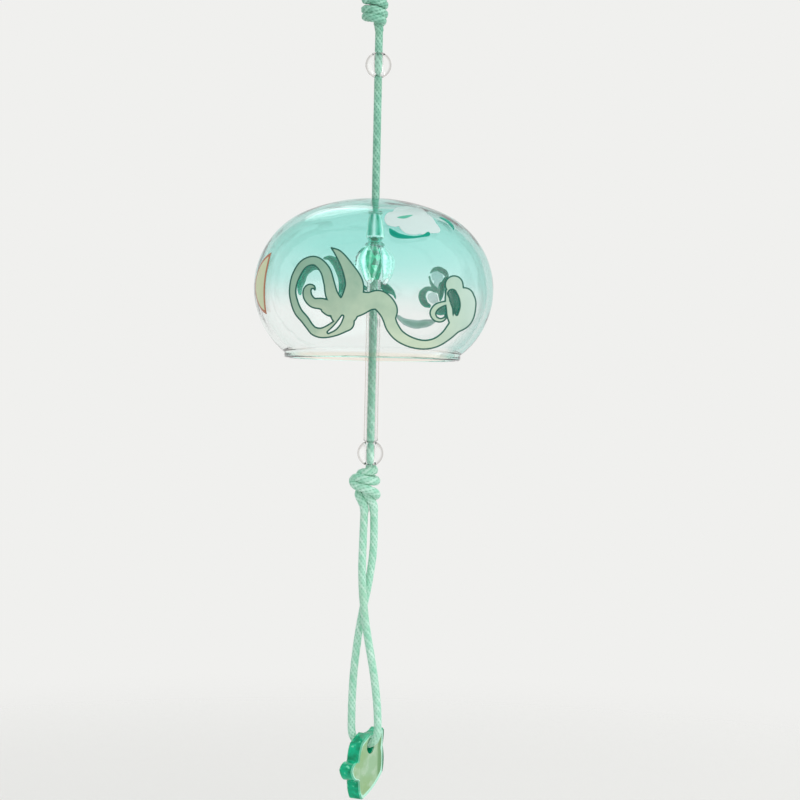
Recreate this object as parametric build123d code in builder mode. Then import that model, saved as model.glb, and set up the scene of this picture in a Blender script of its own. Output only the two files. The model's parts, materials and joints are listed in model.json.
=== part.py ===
from build123d import *
from math import acos, asin, cos, degrees, radians, sin, sqrt, tan
import os

os.makedirs("parts", exist_ok=True)

# Furin wind bell, hanging at rest from its loop. Millimetres, +Z up, +X to the viewer's right.
# The origin is the point of the hook that the loop's bight bears on.

# Cord, a round braid that every piece is threaded on
cord_diameter = 2.7
flex_gap = 0.3  # free cord between two stretches that bend about one point
bead_play = 0.2  # clearance round the cord in every bead
strand_spacing = 3.2  # two strands side by side, centre to centre

# Hanging loop, and the two knots
hook_radius = 2.8
loop_drop = 40.0
winding_radius = 3.65
winding_pitch = 3.75
winding_rise = 2.3  # from a strand's straight entry to its first quarter turn
winding_flare_share = 0.12  # how far a strand leans away from the core as it enters
top_knot_turns = 2.5
lower_knot_turns = 2.0

# Straight cord down to the bell, and its bead
upper_cord_length = 58.6
bead_diameter = 8.8
top_bead_height = 45.0  # bead centre above the bell's crown
bore_edge_break = 0.2

# Blown glass bell
bell_diameter = 80.4
bell_height = 54.0
equator_depth = 30.5
crown_radius = 59.0
mouth_diameter = 59.2
lip_height = 1.9
glass_wall = 2.0
rim_round = 0.85
crown_hole_diameter = 4.2
hole_edge_round = 0.4
seat_play = 0.25  # from the crown to the bead that carries it

# Calyx bead under the crown
calyx_length = 10.5
calyx_rim_diameter = 6.5
calyx_waist_diameter = 4.0
collar_diameter = 4.9
collar_height = 1.7
calyx_swell = 0.3  # how far its side stands outside a straight taper
calyx_lobe_count = 6
calyx_lobe_radius = 0.6

# Clear flower cup, with a ball for a crown and cut petals
ball_diameter = 5.0
ball_play = 0.3
clapper_swing = 30.0  # degrees each way, where the tube meets the bell's rim
swing_margin = 4.0  # degrees of the ball left bare past that swing
cup_length = 16.0
cup_diameter = 14.0
cup_tip_diameter = 11.2
cup_widest_depth = 8.8
petal_wall = 0.85
petal_count = 5
petal_gap_width = 4.6
petal_gap_length = 8.6
petal_gap_waist_share = 0.22

# Faceted drop inside the flower
drop_facets = 8
drop_start = 3.4  # below the ball's centre
drop_length = 11.1
drop_diameter = 6.0
drop_top_diameter = 4.3
drop_tip_diameter = 4.1
drop_wide_share = 0.32

# Glass tube that strikes the rim, standing on the lower bead
tube_length = 54.0
tube_diameter = 4.7
tube_bore = 3.3
tube_edge_round = 0.25
stack_play = 0.1

# Charm plate and its printed film
charm_thickness = 5.0
charm_width = 22.0
charm_height = 22.0
charm_hole_diameter = 5.2
charm_play = 0.3  # from the cord to the top of the charm's hole
charm_corner_radius = 1.0
charm_bevel = 0.45
charm_turn = 62.0  # degrees from facing the viewer, about the vertical
film_thickness = 0.3
film_margin = 1.5
film_shift = 0.7  # to the left, so that more of the clear plate shows at the right

# Charm outline from its hole: across and up, and how far each side bows out, all as shares
charm_outline_shares = [
    (-0.164, 0.082, 0.0),
    (0.09, 0.2, -0.03),
    (0.246, 0.164, -0.03),
    (0.514, 0.263, 0.02),
    (0.486, -0.041, 0.04),
    (0.5, -0.455, 0.04),
    (-0.064, -0.768, 0.02),
    (-0.178, -0.755, 0.02),
    (-0.25, -0.478, 0.055),
    (-0.489, -0.301, 0.065),
    (-0.254, -0.218, 0.03),
]

# Cord below the lower knot: across, towards the back, and down from the knot's underside. It leaves
# the knot as two legs, crosses itself once and passes through the charm's hole at its lowest run.
loop_route = [
    (-1.6, 0.0, 1.65),
    (-1.9, -0.5, 12.5),
    (-2.0, -1.5, 25.5),
    (-0.4, -1.9, 40.0),
    (2.8, -1.7, 56.0),
    (4.5, -2.2, 70.0),
    (4.35, -2.31, 80.1),
    (-4.35, 2.31, 80.1),
    (-4.6, 2.4, 70.0),
    (-4.2, 1.9, 56.0),
    (-2.4, 1.8, 40.0),
    (0.5, 1.4, 25.5),
    (2.1, 0.5, 12.5),
    (1.6, 0.0, 1.65),
]
run_share = 0.45  # part of the shorter run that an arc's tangent takes up

# Radii that follow from the diameters
cord_radius = cord_diameter / 2
bore_radius = cord_radius + bead_play
bead_radius = bead_diameter / 2
ball_radius = ball_diameter / 2
seat_radius = ball_radius + ball_play
equator_radius = bell_diameter / 2
mouth_radius = mouth_diameter / 2
bight_radius = hook_radius + cord_radius

# Heights, from the hook down to the bell
loop_hinge = -loop_drop
top_knot_start = loop_hinge - cord_radius - flex_gap
winding_lead = cord_diameter + winding_rise
top_knot_height = winding_lead + winding_pitch * top_knot_turns + cord_radius + flex_gap
top_knot_end = top_knot_start - top_knot_height
line_hinge = top_knot_end - flex_gap - cord_radius
bell_top = top_knot_end - upper_cord_length
crown_pivot = bell_top - glass_wall / 2

# Heights of the stack that carries the bell, and of what hangs below it
calyx_top = bell_top - glass_wall - seat_play
seat_pivot = calyx_top - calyx_length
drop_top = seat_pivot - drop_start
drop_tip = drop_top - drop_length
tube_top = drop_tip - stack_play
tube_end = tube_top - tube_length
lower_bead_centre = tube_end - stack_play - sqrt(bead_radius ** 2 - (tube_bore / 2) ** 2)
lower_bead_end = lower_bead_centre - sqrt(bead_radius ** 2 - bore_radius ** 2)
lower_knot_start = lower_bead_end - flex_gap
# The last turn of the lower knot hangs clear of the bead above it.
turn_clearance = bead_radius + cord_radius + flex_gap
last_turn = lower_bead_centre - sqrt(turn_clearance ** 2 - winding_radius ** 2) - flex_gap
lower_knot_end = last_turn - winding_pitch * lower_knot_turns - winding_lead


def corner_radii(route):
    """Arc radius at each inner point of a cord's route, as large as the two runs beside it allow."""
    radii = []
    for before, here, after in zip(route, route[1:], route[2:]):
        run_in, run_out = Vector(here) - Vector(before), Vector(after) - Vector(here)
        half_turn = radians(run_in.get_angle(run_out)) / 2
        radii.append(run_share * min(run_in.length, run_out.length) / tan(half_turn))
    return radii


def biarc(start, start_way, end, end_way):
    """Meeting point, and the way there, of two arcs that join two points with given ways."""
    span = end - start
    a = 2 * (1 - start_way.dot(end_way))
    b = 2 * span.dot(start_way + end_way)
    reach = (sqrt(b * b + 4 * a * span.dot(span)) - b) / (2 * a)
    near, far = start + start_way * reach, end - end_way * reach
    return (near + far) / 2, (far - near).normalized()


def least_gap(wire):
    """Least free gap between stretches of one tube that lie over three diameters apart along it."""
    steps = 160
    points = [wire @ (i / steps) for i in range(steps + 1)]
    skip = int(3 * cord_diameter / wire.length * steps) + 1
    pairs = [(p, q) for i, p in enumerate(points) for q in points[i + skip:]]
    return min((p - q).length for p, q in pairs) - cord_diameter


def winding(foot, entry, along, turns):
    """Points and ways of a strand that runs beside a core, then winds round it by half turns."""
    across = (entry - foot - along * (entry - foot).dot(along)).normalized()
    sideways = across.cross(along)
    climb = winding_pitch / (radians(360) * winding_radius)
    lead_way = (along + across * winding_flare_share).normalized()
    points, ways = [entry + lead_way * cord_diameter], [lead_way]
    for half in range(int(round(2 * turns)) + 1):
        angle = radians(90 + 180 * half)
        reach = winding_lead + winding_pitch * half / 2
        outward = across * cos(angle) + sideways * sin(angle)
        points.append(foot + along * reach + outward * winding_radius)
        ways.append((sideways * cos(angle) - across * sin(angle) + along * climb).normalized())
    return points, ways


def knot(label, core_start, core_end, strand_start, turns):
    """Knot of two solids: a slanted core, and one unbroken strand wound round it."""
    foot, entry = Vector(core_start), Vector(strand_start)
    along = (Vector(core_end) - foot).normalized()
    points, ways = winding(foot, entry, along, turns)
    with BuildPart() as made:
        with BuildLine() as core:
            Line(core_start, core_end)
        with BuildSketch(Plane(origin=foot, z_dir=along)):
            Circle(cord_radius)
        sweep(path=core.wire())
        with BuildLine() as strand:
            Line(entry, points[0])
            for start, start_way, end, end_way in zip(points, ways, points[1:], ways[1:]):
                middle, middle_way = biarc(start, start_way, end, end_way)
                TangentArc(start, middle, tangent=start_way)
                TangentArc(middle, end, tangent=middle_way)
            Line(points[-1], points[-1] + ways[-1] * cord_diameter)
        with BuildSketch(Plane(origin=entry, z_dir=ways[0])):
            Circle(cord_radius)
        sweep(path=strand.wire())
    made.part.label = label
    samples = [strand.wire() @ (i / 120) for i in range(121)]
    core_gap = min(core.edge().distance_to(point) for point in samples) - cord_diameter
    print(label, "to its core", round(core_gap, 2), "between turns", round(least_gap(strand.wire()), 2))
    return made


def rings(piece, radius=None):
    """Circular edges about the vertical, all of them or those of one radius."""
    found = piece.edges().filter_by(GeomType.CIRCLE).filter_by(lambda e: abs(e.normal().Z) > 0.99)
    return found if radius is None else found.filter_by(lambda e: abs(e.radius / radius - 1) < 0.01)


def round_bead(label, height):
    """Round glass bead with a bore along Z and a broken edge at each end of it."""
    with BuildPart() as made:
        with Locations((0, 0, height)):
            Sphere(bead_radius)
            Cylinder(bore_radius, bead_diameter, mode=Mode.SUBTRACT)
        chamfer(rings(made, bore_radius), bore_edge_break)
    made.part.label = label
    return made


def arc_point(centre, radius, angle):
    """Point of a profile arc, its angle in degrees from the bell's axis."""
    return (centre[0] + radius * sin(radians(angle)), centre[1] + radius * cos(radians(angle)))


# Hanging loop: two straight legs and a bight the size of the hook
bight_side = bight_radius / run_share * tan(radians(45)) / 2
hanging_route = [
    (-strand_spacing / 2, 0, loop_hinge),
    (-bight_side, 0, cord_radius),
    (bight_side, 0, cord_radius),
    (strand_spacing / 2, 0, loop_hinge),
]
hanging_radii = corner_radii(hanging_route)
with BuildPart() as hanging_loop:
    with BuildLine() as hanging_path:
        FilletPolyline(*hanging_route, radius=hanging_radii)
    with BuildSketch(Plane(origin=hanging_path.wire() @ 0, z_dir=hanging_path.wire() % 0)):
        Circle(cord_radius)
    sweep(path=hanging_path.wire())
    with Locations(hanging_route[0], hanging_route[-1]):
        Sphere(cord_radius)
hanging_loop.part.label = "hanging_loop"
print("hanging loop", round(hanging_path.wire().length, 1), "radii", [round(r, 1) for r in hanging_radii])

# Knot under the loop: the left strand goes straight through, the right one winds round it
hanging_knot = knot(
    "hanging_knot",
    (-strand_spacing / 2, 0, top_knot_start),
    (0, 0, top_knot_end),
    (strand_spacing / 2, 0, top_knot_start),
    top_knot_turns,
)

# Straight cord to the bell, domed at the points that it bends about
with BuildPart() as upper_cord:
    with BuildSketch(Plane.XY.offset(crown_pivot)):
        Circle(cord_radius)
    extrude(amount=line_hinge - crown_pivot)
    with Locations((0, 0, crown_pivot), (0, 0, line_hinge)):
        Sphere(cord_radius)
upper_cord.part.label = "upper_cord"

top_bead = round_bead("top_bead", bell_top + top_bead_height)

# Bell: crown, shoulder and belly arcs, each tangent to the next, and a ground lip
shoulder_radius = (2 * crown_radius * equator_depth - equator_radius ** 2 - equator_depth ** 2) / (
    2 * (crown_radius - equator_radius)
)
mouth_step = equator_radius - mouth_radius
mouth_drop = bell_height - lip_height - equator_depth
belly_radius = (mouth_step ** 2 + mouth_drop ** 2) / (2 * mouth_step)
crown_centre = (0, bell_top - crown_radius)
shoulder_centre = (equator_radius - shoulder_radius, bell_top - equator_depth)
belly_centre = (equator_radius - belly_radius, bell_top - equator_depth)
crown_angle = degrees(asin(shoulder_centre[0] / (crown_radius - shoulder_radius)))


def bell_side(inset):
    """Outer profile of the bell, or the inner one at the wall's inset. Gives its two ends."""
    crown, shoulder, belly = (r - inset for r in (crown_radius, shoulder_radius, belly_radius))
    hole_angle = degrees(asin(crown_hole_diameter / 2 / crown))
    mouth_angle = 90 + degrees(acos((mouth_radius - inset - belly_centre[0]) / belly))
    top = arc_point(crown_centre, crown, hole_angle)
    joint = arc_point(crown_centre, crown, crown_angle)
    equator = arc_point(shoulder_centre, shoulder, 90)
    lip = arc_point(belly_centre, belly, mouth_angle)
    foot = (mouth_radius - inset, bell_top - bell_height)
    ThreePointArc(top, arc_point(crown_centre, crown, (hole_angle + crown_angle) / 2), joint)
    ThreePointArc(joint, arc_point(shoulder_centre, shoulder, (crown_angle + 90) / 2), equator)
    ThreePointArc(equator, arc_point(belly_centre, belly, (90 + mouth_angle) / 2), lip)
    Line(lip, foot)
    return top, foot


with BuildPart() as bell_glass:
    with BuildSketch(Plane.XZ):
        with BuildLine():
            outer_top, outer_foot = bell_side(0)
            inner_top, inner_foot = bell_side(glass_wall)
            Line(outer_top, inner_top)
            Line(outer_foot, inner_foot)
        make_face()
    revolve(axis=Axis.Z)
    fillet(rings(bell_glass).group_by(Axis.Z)[0], rim_round)
    fillet(rings(bell_glass, crown_hole_diameter / 2), hole_edge_round)
bell_glass.part.label = "bell_glass"

# Calyx bead: a collar under the crown, a slim waist, and a lobed rim over a round seat
collar_radius, waist_radius = collar_diameter / 2, calyx_waist_diameter / 2
calyx_rim = calyx_rim_diameter / 2
collar_foot = calyx_top - collar_height
collar_flat = collar_radius - collar_height / 2
seat_throat = seat_pivot + sqrt(seat_radius ** 2 - bore_radius ** 2)
seat_middle = acos(bore_radius / seat_radius) / 2
with BuildPart() as calyx_bead:
    with BuildSketch(Plane.XZ):
        with BuildLine():
            Line((bore_radius, seat_throat), (bore_radius, calyx_top))
            Line((bore_radius, calyx_top), (collar_flat, calyx_top))
            ThreePointArc(
                (collar_flat, calyx_top),
                (collar_radius, calyx_top - collar_height / 2),
                (waist_radius, collar_foot),
            )
            ThreePointArc(
                (waist_radius, collar_foot),
                ((waist_radius + calyx_rim) / 2 + calyx_swell, (collar_foot + seat_pivot) / 2),
                (calyx_rim, seat_pivot),
            )
            Line((calyx_rim, seat_pivot), (seat_radius, seat_pivot))
            ThreePointArc(
                (seat_radius, seat_pivot),
                (seat_radius * cos(seat_middle), seat_pivot + seat_radius * sin(seat_middle)),
                (bore_radius, seat_throat),
            )
        make_face()
    revolve(axis=Axis.Z)
    with Locations((0, 0, seat_pivot)):
        with PolarLocations(calyx_rim, calyx_lobe_count):
            Cylinder(calyx_lobe_radius, calyx_rim, rotation=(0, 90, 0), mode=Mode.SUBTRACT)
calyx_bead.part.label = "calyx_bead"

with BuildPart() as stopper_cord:
    with BuildSketch(Plane.XY.offset(crown_pivot - cord_radius - flex_gap)):
        Circle(cord_radius)
    extrude(amount=seat_pivot - crown_pivot + cord_radius + flex_gap)
    with Locations((0, 0, seat_pivot)):
        Sphere(cord_radius)
stopper_cord.part.label = "stopper_cord"

# Flower cup: a ball in the seat, then one curved wall cut into petals
bare = radians(clapper_swing + swing_margin)
neck_reach = max(calyx_rim, seat_radius) + ball_play
# The bore widens upwards as a cone, so that the cord above can lean in it at full swing.
cone_depth = cord_radius * sin(bare)
cone_lead = bore_radius * sin(bare) - cone_depth * cos(bare)
cone_side = sqrt(cone_lead ** 2 - bore_radius ** 2 - cone_depth ** 2 + ball_radius ** 2) - cone_lead
cone_edge = (bore_radius + cone_side * sin(bare), seat_pivot - cone_depth + cone_side * cos(bare))
ball_foot = (ball_radius * cos(bare), seat_pivot - ball_radius * sin(bare))
flare_start = (neck_reach * cos(bare), seat_pivot - neck_reach * sin(bare))
cup_widest, cup_tip = cup_diameter / 2, cup_tip_diameter / 2
inner_start = (bore_radius, flare_start[1] - petal_wall)
with BuildPart() as petal_cup:
    with BuildSketch(Plane.XZ):
        with BuildLine():
            ThreePointArc(cone_edge, (ball_radius, seat_pivot), ball_foot)
            Line(ball_foot, flare_start)
            ThreePointArc(
                flare_start,
                (cup_widest, seat_pivot - cup_widest_depth),
                (cup_tip, seat_pivot - cup_length),
            )
            Line((cup_tip, seat_pivot - cup_length), (cup_tip - petal_wall, seat_pivot - cup_length))
            ThreePointArc(
                (cup_tip - petal_wall, seat_pivot - cup_length),
                (cup_widest - petal_wall, seat_pivot - cup_widest_depth),
                inner_start,
            )
            Line(inner_start, (bore_radius, seat_pivot - cone_depth))
            Line((bore_radius, seat_pivot - cone_depth), cone_edge)
        make_face()
    revolve(axis=Axis.Z)
    gap_planes = []
    for petal in range(petal_count):
        facing = radians(360 * petal / petal_count)
        outward = (cos(facing), sin(facing), 0)
        gap_planes.append(Plane((0, 0, seat_pivot - cup_length), (-sin(facing), cos(facing), 0), outward))
    with BuildSketch(*gap_planes):
        with BuildLine():
            apex = (0, petal_gap_length)
            waist = (petal_gap_width * petal_gap_waist_share, petal_gap_length / 2)
            foot = (petal_gap_width / 2, -petal_wall)
            ThreePointArc(apex, waist, foot)
            ThreePointArc(apex, (-waist[0], waist[1]), (-foot[0], foot[1]))
            Line(foot, (-foot[0], foot[1]))
        make_face()
    extrude(amount=cup_diameter, mode=Mode.SUBTRACT)
petal_cup.part.label = "petal_cup"

# Faceted drop with its widest girdle in the upper third
with BuildPart() as crystal_drop:
    girdle = drop_top - drop_length * drop_wide_share
    for height, diameter in ((drop_top, drop_top_diameter), (girdle, drop_diameter), (drop_tip, drop_tip_diameter)):
        with BuildSketch(Plane.XY.offset(height)):
            RegularPolygon(diameter / 2, drop_facets)
    loft(ruled=True)
    with Locations((0, 0, (drop_top + drop_tip) / 2)):
        Cylinder(bore_radius, drop_length + cord_diameter, mode=Mode.SUBTRACT)
crystal_drop.part.label = "crystal_drop"

clapper_cord_top = seat_pivot - cord_radius - flex_gap
with BuildPart() as clapper_cord:
    with BuildSketch(Plane.XY.offset(lower_bead_end)):
        Circle(cord_radius)
    extrude(amount=clapper_cord_top - lower_bead_end)
clapper_cord.part.label = "clapper_cord"

with BuildPart() as clapper_tube:
    with BuildSketch(Plane.XY.offset(tube_end)):
        Circle(tube_diameter / 2)
        Circle(tube_bore / 2, mode=Mode.SUBTRACT)
    extrude(amount=tube_length)
    fillet(clapper_tube.edges().filter_by(GeomType.CIRCLE), tube_edge_round)
clapper_tube.part.label = "clapper_tube"

lower_bead = round_bead("lower_bead", lower_bead_centre)

# Knot under the bead: the right leg runs up into the bead, the left one winds round it
lower_knot = knot(
    "lower_knot",
    (strand_spacing / 2, 0, lower_knot_end),
    (0, 0, lower_knot_start),
    (-strand_spacing / 2, 0, lower_knot_end),
    lower_knot_turns,
)

# Loop that carries the charm
loop_points = [(x, y, lower_knot_end - drop) for x, y, drop in loop_route]
loop_radii = corner_radii(loop_points)
with BuildPart() as charm_loop:
    with BuildLine() as loop_path:
        FilletPolyline(*loop_points, radius=loop_radii)
    with BuildSketch(Plane(origin=loop_path.wire() @ 0, z_dir=loop_path.wire() % 0)):
        Circle(cord_radius)
    sweep(path=loop_path.wire())
    with Locations(loop_points[0], loop_points[-1]):
        Sphere(cord_radius)
charm_loop.part.label = "charm_loop"
loop_length = loop_path.wire().length
print("charm loop", round(loop_length, 1), "gap to itself", round(least_gap(loop_path.wire()), 2))
print("radii", [round(radius, 1) for radius in loop_radii])

# Charm plate, hung by its hole on the loop's lowest run
bight_height = min(z for x, y, z in loop_points)
bight_bend = min(loop_radii)
bight_straight = (Vector(loop_points[6]) - Vector(loop_points[7])).length / 2 - bight_bend
bight_rise = bight_bend - sqrt(bight_bend ** 2 - (charm_thickness / 2 - bight_straight) ** 2)
hole_drop = charm_hole_diameter / 2 - cord_radius - bight_rise - charm_play
facing = radians(charm_turn)
charm_plane = Plane(
    origin=(0, 0, bight_height - hole_drop),
    x_dir=(cos(facing), sin(facing), 0),
    z_dir=(sin(facing), -cos(facing), 0),
)


def charm_outline(size_share, centre, shift=0.0):
    """Closed outline of the charm, scaled about its centre, which is brought under the hole."""
    corners = []
    for u, v, bow in charm_outline_shares:
        across, up = u * charm_width - centre.X, v * charm_height - centre.Y
        corners.append((across * size_share - shift, up * size_share + centre.Y))
    with BuildLine() as sides:
        for i, (u, v, bow) in enumerate(charm_outline_shares):
            start, end = corners[i], corners[(i + 1) % len(corners)]
            if bow:
                SagittaArc(start, end, bow * charm_width * size_share)
            else:
                Line(start, end)
    make_face(sides.edges())


with BuildSketch(Plane.XY) as first_outline:
    charm_outline(1, Vector(0, 0))
balance = first_outline.face().center()
film_share = 1 - 2 * film_margin / charm_width

with BuildPart() as charm_slab:
    with BuildSketch(charm_plane):
        charm_outline(1, balance)
        fillet(vertices(), charm_corner_radius)
    extrude(amount=charm_thickness / 2, both=True)
    chamfer(edges().filter_by(charm_plane), charm_bevel)
    with BuildSketch(charm_plane.offset(charm_thickness / 2)):
        charm_outline(film_share, balance, film_shift)
        fillet(vertices(), charm_corner_radius * film_share)
    extrude(amount=-film_thickness, mode=Mode.SUBTRACT)
    with BuildSketch(charm_plane):
        Circle(charm_hole_diameter / 2)
    extrude(amount=charm_thickness, both=True, mode=Mode.SUBTRACT)
charm_slab.part.label = "charm_slab"

with BuildPart() as charm_face:
    with BuildSketch(charm_plane.offset(charm_thickness / 2)):
        charm_outline(film_share, balance, film_shift)
        fillet(vertices(), charm_corner_radius * film_share)
        Circle(charm_hole_diameter / 2, mode=Mode.SUBTRACT)
    extrude(amount=-film_thickness)
charm_face.part.label = "charm_face"

pieces = [
    hanging_loop,
    hanging_knot,
    upper_cord,
    top_bead,
    bell_glass,
    calyx_bead,
    stopper_cord,
    petal_cup,
    crystal_drop,
    clapper_cord,
    clapper_tube,
    lower_bead,
    lower_knot,
    charm_loop,
    charm_slab,
    charm_face,
]
for piece in pieces:
    export_step(piece.part, f"parts/{piece.part.label}.step")
heights = {
    "loop hinge": loop_hinge,
    "knot": top_knot_end,
    "line hinge": line_hinge,
    "bell top": bell_top,
    "crown pivot": crown_pivot,
    "seat pivot": seat_pivot,
    "lower bead": lower_bead_centre,
    "lower knot start": lower_knot_start,
    "lower knot end": lower_knot_end,
    "charm pivot": bight_height,
}
for name, height in heights.items():
    print(name, round(height, 3))
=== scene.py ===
import json
import math
import random

import bmesh
import bpy
import numpy as np
from mathutils import Matrix, Vector, noise


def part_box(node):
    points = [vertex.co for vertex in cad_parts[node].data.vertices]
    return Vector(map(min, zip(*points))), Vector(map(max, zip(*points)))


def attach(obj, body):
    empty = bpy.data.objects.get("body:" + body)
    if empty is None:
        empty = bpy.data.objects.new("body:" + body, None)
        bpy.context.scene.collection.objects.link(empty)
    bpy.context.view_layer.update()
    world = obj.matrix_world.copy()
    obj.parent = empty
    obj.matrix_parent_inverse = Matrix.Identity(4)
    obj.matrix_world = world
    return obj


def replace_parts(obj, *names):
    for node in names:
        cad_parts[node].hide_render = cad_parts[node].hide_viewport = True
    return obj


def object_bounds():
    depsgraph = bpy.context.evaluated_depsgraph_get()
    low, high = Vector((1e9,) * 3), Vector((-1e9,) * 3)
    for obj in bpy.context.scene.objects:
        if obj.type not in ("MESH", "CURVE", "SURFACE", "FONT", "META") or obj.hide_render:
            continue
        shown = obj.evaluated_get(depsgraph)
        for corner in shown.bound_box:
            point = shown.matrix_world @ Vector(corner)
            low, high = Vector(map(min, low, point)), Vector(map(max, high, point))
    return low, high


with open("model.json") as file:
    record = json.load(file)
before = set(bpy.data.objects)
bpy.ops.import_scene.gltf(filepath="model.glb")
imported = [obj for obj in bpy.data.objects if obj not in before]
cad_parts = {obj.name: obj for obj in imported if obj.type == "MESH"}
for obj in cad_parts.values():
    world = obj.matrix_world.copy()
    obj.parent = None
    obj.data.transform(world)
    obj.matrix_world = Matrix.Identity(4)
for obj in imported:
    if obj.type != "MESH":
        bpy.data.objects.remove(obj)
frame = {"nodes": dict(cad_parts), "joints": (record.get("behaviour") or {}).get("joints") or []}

# Glass wind bell on a braided cord. Metres, +Z up, +X to the viewer's right, origin at the hook.
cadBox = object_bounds()
pivots = {joint["name"]: Vector(joint["pos_m"]) for joint in frame["joints"]}
mm = 0.001
random.seed(11)


# Camera at the photograph's place: level, a little below the bell, rolled so that the cord leans
cameraSetup = {
    "distance": 0.622,
    "right": 0.0096,
    "height": -0.1837,
    "lens": 83.25,
    "sensor": 36.0,
    "clip": (0.01, 20.0),
    "roll": math.radians(1.2),
}


def addCamera(setup):
    data = bpy.data.cameras.new("camera")
    data.lens = setup["lens"]
    data.sensor_width = setup["sensor"]
    data.clip_start, data.clip_end = setup["clip"]
    camera = bpy.data.objects.new("camera", data)
    bpy.context.collection.objects.link(camera)
    c, s = math.cos(setup["roll"]), math.sin(setup["roll"])
    turn = Matrix(((c, -s, 0), (0, 0, -1), (s, c, 0)))
    place = Vector((setup["right"], -setup["distance"], setup["height"]))
    camera.matrix_world = Matrix.Translation(place) @ turn.to_4x4()
    bpy.context.scene.camera = camera


addCamera(cameraSetup)
print("camera is set")


# Helpers for meshes
def turnOutward(mesh):
    # Glass bends light the right way only where every face looks outward
    work = bmesh.new()
    work.from_mesh(mesh)
    bmesh.ops.recalc_face_normals(work, faces=work.faces)
    work.to_mesh(mesh)
    work.free()
    mesh.update()


def addPiece(name, verts, faces, materials, body, faceSlots=None, smooth=True):
    mesh = bpy.data.meshes.new(name)
    mesh.from_pydata([tuple(v) for v in verts], [], faces)
    for material in materials:
        mesh.materials.append(material)
    if faceSlots is not None:
        mesh.polygons.foreach_set("material_index", faceSlots)
    mesh.polygons.foreach_set("use_smooth", [smooth] * len(mesh.polygons))
    turnOutward(mesh)
    piece = bpy.data.objects.new(name, mesh)
    bpy.context.collection.objects.link(piece)
    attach(piece, body)
    return piece


def storeValue(piece, name, values, domain="POINT"):
    layer = piece.data.attributes.new(name, "FLOAT", domain)
    layer.data.foreach_set("value", np.asarray(values, dtype=np.float32))


def arcPoints(centre, radius, start, end, steps):
    # Points of a profile arc, its angles in degrees from the axis pointing up
    angles = np.radians(np.linspace(start, end, steps + 1))
    return [(centre[0] + radius * math.sin(a), centre[1] + radius * math.cos(a)) for a in angles]


def joinProfile(*parts, nearest=1e-6):
    # One closed profile of all the parts, with no point twice in a row
    joined = []
    for part in parts:
        for point in part:
            if not joined or math.dist(point, joined[-1]) > nearest:
                joined.append(point)
    if math.dist(joined[0], joined[-1]) < nearest:
        joined.pop()
    return joined


def spin(profile, segments, wave=None):
    # Closed profile turned about the vertical axis. Wave moves a point in or out, by its angle and
    # its number in the profile.
    verts, faces = [], []
    count = len(profile)
    for i in range(segments):
        angle = 2 * math.pi * i / segments
        for j, (radius, height) in enumerate(profile):
            reach = radius + wave(angle, j) if wave else radius
            verts.append((reach * math.cos(angle), reach * math.sin(angle), height))
    for i in range(segments):
        k = (i + 1) % segments
        for j in range(count):
            m = (j + 1) % count
            faces.append((i * count + j, k * count + j, k * count + m, i * count + m))
    return verts, faces


def smoothLine(route, order=3, steps=20):
    # The even curve that a soft cord takes through its route, as points
    data = bpy.data.curves.new("route", "CURVE")
    data.dimensions = "3D"
    data.resolution_u = steps
    spline = data.splines.new("NURBS")
    spline.points.add(len(route) - 1)
    for point, place in zip(spline.points, route):
        point.co = (*place, 1.0)
    spline.order_u = order
    spline.use_endpoint_u = True
    holder = bpy.data.objects.new("route", data)
    mesh = bpy.data.meshes.new_from_object(holder)
    line = np.array([vert.co[:] for vert in mesh.vertices])
    bpy.data.objects.remove(holder)
    bpy.data.curves.remove(data)
    bpy.data.meshes.remove(mesh)
    return line


def throughPoints(controls, steps):
    # A smooth line through every given point
    given = np.array(controls, float)
    ends = np.vstack([2 * given[0] - given[1], given, 2 * given[-1] - given[-2]])
    found = []
    for p, q, r, s in zip(ends, ends[1:], ends[2:], ends[3:]):
        for k in range(steps):
            t = k / steps
            found.append(0.5 * (2 * q + (r - p) * t + (2 * p - 5 * q + 4 * r - s) * t * t
                                + (3 * q - p - 3 * r + s) * t ** 3))
    found.append(given[-1])
    return np.array(found)


def held(value):
    return min(1.0, max(0.0, value))


def stepLengths(line):
    return np.linalg.norm(np.diff(line, axis=0), axis=1)


def lineLength(line):
    return float(stepLengths(line).sum())


def evenly(line, step, fewest=4, nearest=1e-9):
    # The same line at even steps
    line = line[np.concatenate([[True], stepLengths(line) > nearest])]
    along = np.concatenate([[0.0], np.cumsum(stepLengths(line))])
    count = max(fewest, int(round(along[-1] / step)))
    places = np.linspace(0, along[-1], count + 1)
    return np.stack([np.interp(places, along, line[:, k]) for k in range(3)], axis=1)


def carryFrames(line, steep=0.8):
    # Two directions across the line at each point, carried along it without twist
    ways = np.gradient(line, axis=0)
    ways /= np.linalg.norm(ways, axis=1)[:, None]
    guess = np.array([1.0, 0, 0]) if abs(ways[0][0]) < steep else np.array([0, 1.0, 0])
    across = guess - ways[0] * guess.dot(ways[0])
    across /= np.linalg.norm(across)
    firsts, seconds = [], []
    for way in ways:
        across = across - way * across.dot(way)
        across /= np.linalg.norm(across)
        firsts.append(across.copy())
        seconds.append(np.cross(way, across))
    return ways, np.array(firsts), np.array(seconds)


# Helpers for shaders
def startGroup(name, inputs, outputs):
    group = bpy.data.node_groups.new(name, "ShaderNodeTree")
    for label, kind, value in inputs:
        socket = group.interface.new_socket(label, in_out="INPUT", socket_type=kind)
        socket.default_value = value
    for label, kind in outputs:
        group.interface.new_socket(label, in_out="OUTPUT", socket_type=kind)
    return group, group.nodes.new("NodeGroupInput"), group.nodes.new("NodeGroupOutput")


def feed(tree, node, values):
    # Links what is a socket and sets what is a plain value
    for key, value in values.items():
        if isinstance(value, bpy.types.NodeSocket):
            tree.links.new(value, node.inputs[key])
        elif value is not None:
            node.inputs[key].default_value = value


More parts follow.
